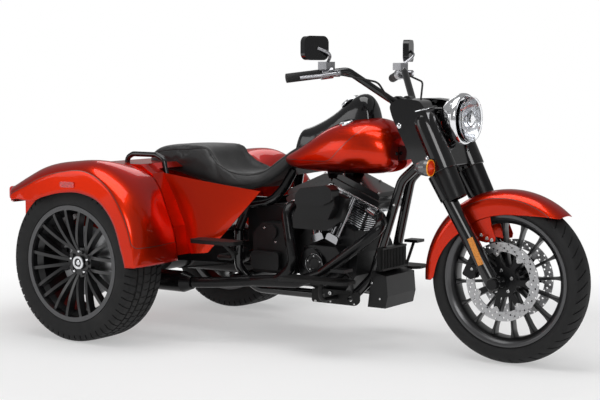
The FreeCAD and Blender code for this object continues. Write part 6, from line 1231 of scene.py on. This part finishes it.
# %% Covers with rounded edges; the machined joint is a band of the distance along the cylinder's axis
finish = Finish("rocker_black_and_joint", coat_weight=0.4, coat_roughness=0.08)
x, _, z = finish.axes(CRANK)
joint = 1.0 - (x.size() * math.sin(V_ANGLE) + z * math.cos(V_ANGLE)).step(0.2782, 0.2790)
grain = finish.noise(500.0, 2.0)
ROCKER = finish.done((grain, 0.00005, 0.4), metallic=joint, roughness=grain * 0.12 + joint * -0.04 + 0.24,
                     base_color=(joint, BLACK, (0.72, 0.73, 0.75)))
ROUNDED = {"air_cleaner": ("black_gloss", COVER, 0.005), "rocker_boxes": ("black_gloss", ROCKER, 0.0025),
           "gear_cover": ("black_gloss", COVER, 0.003), "primary_cover": ("black_gloss", COVER, 0.004),
           "chin_box": ("black_gloss", COVER, 0.010), "battery_box": ("black_satin", SATIN, 0.003),
           "front_calipers": ("black_satin", SATIN, 0.003)}
for node, row in ROUNDED.items():
    softened(node, *row)
print("rounded solids:", list(ROUNDED))

# %% Bolts on the covers
for word, side in (("front", 1), ("rear", -1)):
    way = np.array((math.sin(V_ANGLE) * side, 0, math.cos(V_ANGLE)))
    over = np.array((way[2], 0, -way[0]))
    starts = [CRANK + way * 0.5 + over * a + (0, b, 0) for a in (-0.088, 0.0, 0.088) for b in (-0.074, 0.074)]
    bolts_on("rocker_bolts_" + word, "rocker_boxes", starts, -way)
low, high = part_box("primary_cover")
starts = [(x, 0.9, z) for x in np.linspace(low[0] + 0.04, high[0] - 0.04, 5)
          for z in np.linspace(low[2] + 0.03, high[2] - 0.04, 2)]
bolts_on("primary_bolts", "primary_cover", starts, (0, -1, 0))
OUTWARD = (0, -1, 0)
TIMER = mm("0 3, 20 3, 21.5 4.5, 23.5 4.5, 25 3, 36 3, 37.5 5, 41 5, 42.5 2, 42.5 -2, 0 -2")
spot = from_side("gear_cover", ahead(0.905), 0.345, -1)
piece("timer_cap", "gear_cover", "black_gloss", COVER, [lathe(TIMER, spot, OUTWARD, 72)], sharp=30.0)
piece("timer_cap_rings", "gear_cover", "aluminium", BRIGHT,
      [ring_of(mm("37.8 4.6, 39.4 5.3, 41 4.6"), spot, OUTWARD, 72)])
piece("timer_cap_bolts", "gear_cover", "aluminium", STEEL,
      [bolt(at, OUTWARD, 0.0033, 0.003) for at in about(spot, 0.030, turns(5, 0.3), -0.003)])
print("timer cap at", spot.round(3))

# %% Caliper bolts, hub caps and wheel nuts
CALIPER_BOLTS = ((1.508, 0.345, 0.0075), (1.498, 0.455, 0.005), (1.568, 0.366, 0.0055), (1.511, 0.385, 0.005))
heads = []
for x, z, radius in CALIPER_BOLTS:
    for _, side in SIDES:
        spot = from_side("front_calipers", ahead(x), z, side)
        if spot is not None:
            heads.append(bolt(spot, (0, side, 0), radius, radius * 0.8))
piece("front_caliper_bolts", "front_calipers", "aluminium", STEEL, heads)
NUT = mm("0 8.5, 4.5 8, 6.2 6, 7.2 3, 7.2 -1, 0 -1")
for word, side in SIDES:
    node, way, hub = "rear_wheel_" + word, (0, side, 0), REAR_HUBS[word]
    face = from_side(node, hub[0], hub[2], side)
    piece(node + "_cap_ring", node, "chrome", CHROME,
          [ring_of(mm("17.5 -1, 18 2.2, 21.5 3, 26.2 2.6, 28.5 .6, 28.5 -1"), face, way, 64),
           lathe(mm("0 2, 8 1.8, 10.5 .4, 10.5 -1, 0 -1"), face, way, 32)])
    piece(node + "_nuts", node, "chrome", CHROME,
          [lathe(NUT, from_side(node, x, z, side), way, 18)
           for x, _, z in about(hub, 0.046, turns(5, np.pi / 2))])
print("caliper bolts:", len(heads))

# %% Loom and coil under the tank
LOOMS = (("660 -40 748, 800 -62 730, 950 -66 722, 1090 -60 738, 1200 -48 790", 0.009),
         ("660 40 745, 820 58 722, 970 64 716, 1100 55 742, 1200 46 795", 0.011),
         ("700 0 740, 840 -20 712, 990 -26 706, 1120 -20 750, 1210 -10 800", 0.007))
loom = piece("wiring_loom", "frame", "grip_rubber", RUBBER,
             [tube(smooth_line(mm(text), 60) + (REAR_AXLE, 0, 0), radius, 14) for text, radius in LOOMS])
block = bar(np.array([(ahead(x), 0.0, 0.702) for x in np.linspace(0.870, 0.995, 11)]), 0.042, 0.026, sides=28)
piece("ignition_coil", "frame", "black_satin", MOULDED, [block], round_off=0.0015)
print("loom faces:", len(loom.data.polygons))

# %% [markdown]
# ## Mirrors, dial and filler cap
#
# The mirror glass lies in the back of each shell, the dial sits in the top of the console in a chrome ring, and
# the filler cap on the tank. All three are turned or pressed pieces on the surface that carries them.

# %% Mirror glass
finish = Finish("mirror_glass", metallic=1.0)
haze = finish.noise(18.0, 3.0)
SILVER = finish.done(base_color=(haze, (0.80, 0.82, 0.84), (0.90, 0.91, 0.93)),
                     roughness=haze * 0.03 + 0.01)
plates = []
for _, side in SIDES:
    spot, normal = touch("mirrors", (ahead(0.7), 0.360 * side, 1.197), (1, 0, 0))
    normal = -normal if normal[0] > 0 else normal
    line = spot + normal * np.linspace(-0.001, 0.0016, 4)[:, None]
    plates.append(bar(line, 0.050, 0.038, power=3.4, sides=40))
piece("mirror_faces", "mirrors", "mirror_shell", SILVER, plates)
print("mirror plates:", len(plates))

# %% Dial: pale ticks round its edge from the angle, a red pointer, and a small window
spot, normal = touch("console", (ahead(0.955), 0.0, 1.4), (0, 0, -1))
finish = Finish("dial_face", coat_weight=1.0, coat_roughness=0.01)
x, y, _ = finish.axes(tuple(spot), (0, -math.atan2(normal[0], normal[2]), 0))
radius = x.hypot(y)
share = finish.node("ShaderNodeMath", {"operation": "ARCTAN2"}, {0: y, 1: x}) * (0.5 / math.pi)
fine = ((share * 60).zigzag() > 0.40) * (radius > 0.0285)
bold = ((share * 12).zigzag() > 0.455) * (radius > 0.0255)
window = (y.size() < 0.010) * ((x + 0.014).size() < 0.0045)
needle = ((y - x * 0.5).size() < 0.0009) * (radius < 0.027) * (x > 0.0)
face = finish.mix(fine.most(bold) * (radius < 0.0320), (0.006, 0.006, 0.007), (0.85, 0.85, 0.82))
face = finish.mix(needle, finish.mix(window, face, (0.10, 0.14, 0.13)), (0.80, 0.06, 0.01))
DIAL = finish.done(base_color=face, roughness=finish.noise(30.0) * 0.1 + 0.2)
piece("dial", "console", "black_gloss", DIAL, [lathe(mm("0 3.5, 33.5 3.5, 33.5 -4, 0 -4"), spot, normal, 64)])
piece("dial_ring", "console", "chrome", CHROME,
      [ring_of(mm("33.5 -4, 33.5 4.2, 36.5 6.2, 40 5, 42 1, 42.5 -4"), spot, normal, 72)])

# %% Filler cap
spot, normal = touch("fuel_tank", (ahead(0.985), -0.080, 1.4), (0, 0, -1))
piece("filler_cap", "fuel_tank", "chrome", CHROME,
      [lathe(mm("0 8.5, 18 8, 26.5 6.2, 30 3, 31 -3, 0 -3"), spot, normal, 56)])
print("filler cap at", spot.round(3))

# %% [markdown]
# ## Small fasteners found along lines of sight
#
# Some bolts and the bright strip on the nacelle are only known from where they appear in the picture. A line from
# the camera through that place meets the solid that carries them, and the hit gives both the spot and the way the
# surface faces, so the piece sits properly from every side. Its twin on the other side has Y turned round.

# %% From a place in the picture to a place on a solid
def seen_at(right, down, node):
    """First hit on a node's solid of the line through a place in the 600 by 400 picture."""
    scale = camera_data.sensor_width / camera_data.lens / 600
    way = camera.rotation_euler.to_matrix() @ Vector(((right - 300) * scale, (200 - down) * scale, -1.0))
    return touch(node, camera.location, way)


FASTENERS = {  # node: (right, down, radius in mm), and whether the other side has a twin
    "footboards": (((330.4, 292.9, 8.0), (361.9, 290.7, 6.5), (315.7, 300.7, 5.5), (330.7, 301.4, 4.0),
                    (335.0, 304.3, 4.0), (354.3, 304.3, 4.0), (354.3, 274.3, 4.0)), True),
    "frame": (((400.0, 173.3, 6.0), (394.0, 205.0, 5.0)), True),
    "transmission": (((264.7, 228.0, 4.5), (275.8, 242.0, 4.5), (252.0, 246.0, 4.5)), False),
    "mufflers": (((241.9, 293.3, 5.5),), False),
    "chin_box": (((372.0, 283.0, 4.0), (380.0, 299.0, 4.0)), True),
}
count = 0
for node, (marks, twins) in FASTENERS.items():
    heads = []
    for right, down, radius in marks:
        spot, normal = seen_at(right, down, node)
        if spot is not None:
            heads += [bolt(spot * (1, side, 1), normal * (1, side, 1), radius / 1000, radius / 1400)
                      for side in ((1, -1) if twins else (1,))]
    if heads:
        piece(node + "_fasteners", node, "aluminium", STEEL, heads)
        count += len(heads)
print("fasteners:", count)

# %% Bright strip on the nacelle
line = [seen_at(right, 111.5 - (right - 415.5) * 0.24, "nacelle")[0]
        for right in np.linspace(415.5, 433.0, 12)]
line = np.array([p for p in line if p is not None])
if len(line) > 3:
    line = smooth_line(line[[0, len(line) // 2, -1]], 24)
    piece("nacelle_strips", "nacelle", "chrome", CHROME,
          [bar(line * (1, side, 1), 0.0042, 0.0022, power=4.0, sides=16) for _, side in SIDES])
print("strip from", line[0].round(3), "to", line[-1].round(3))
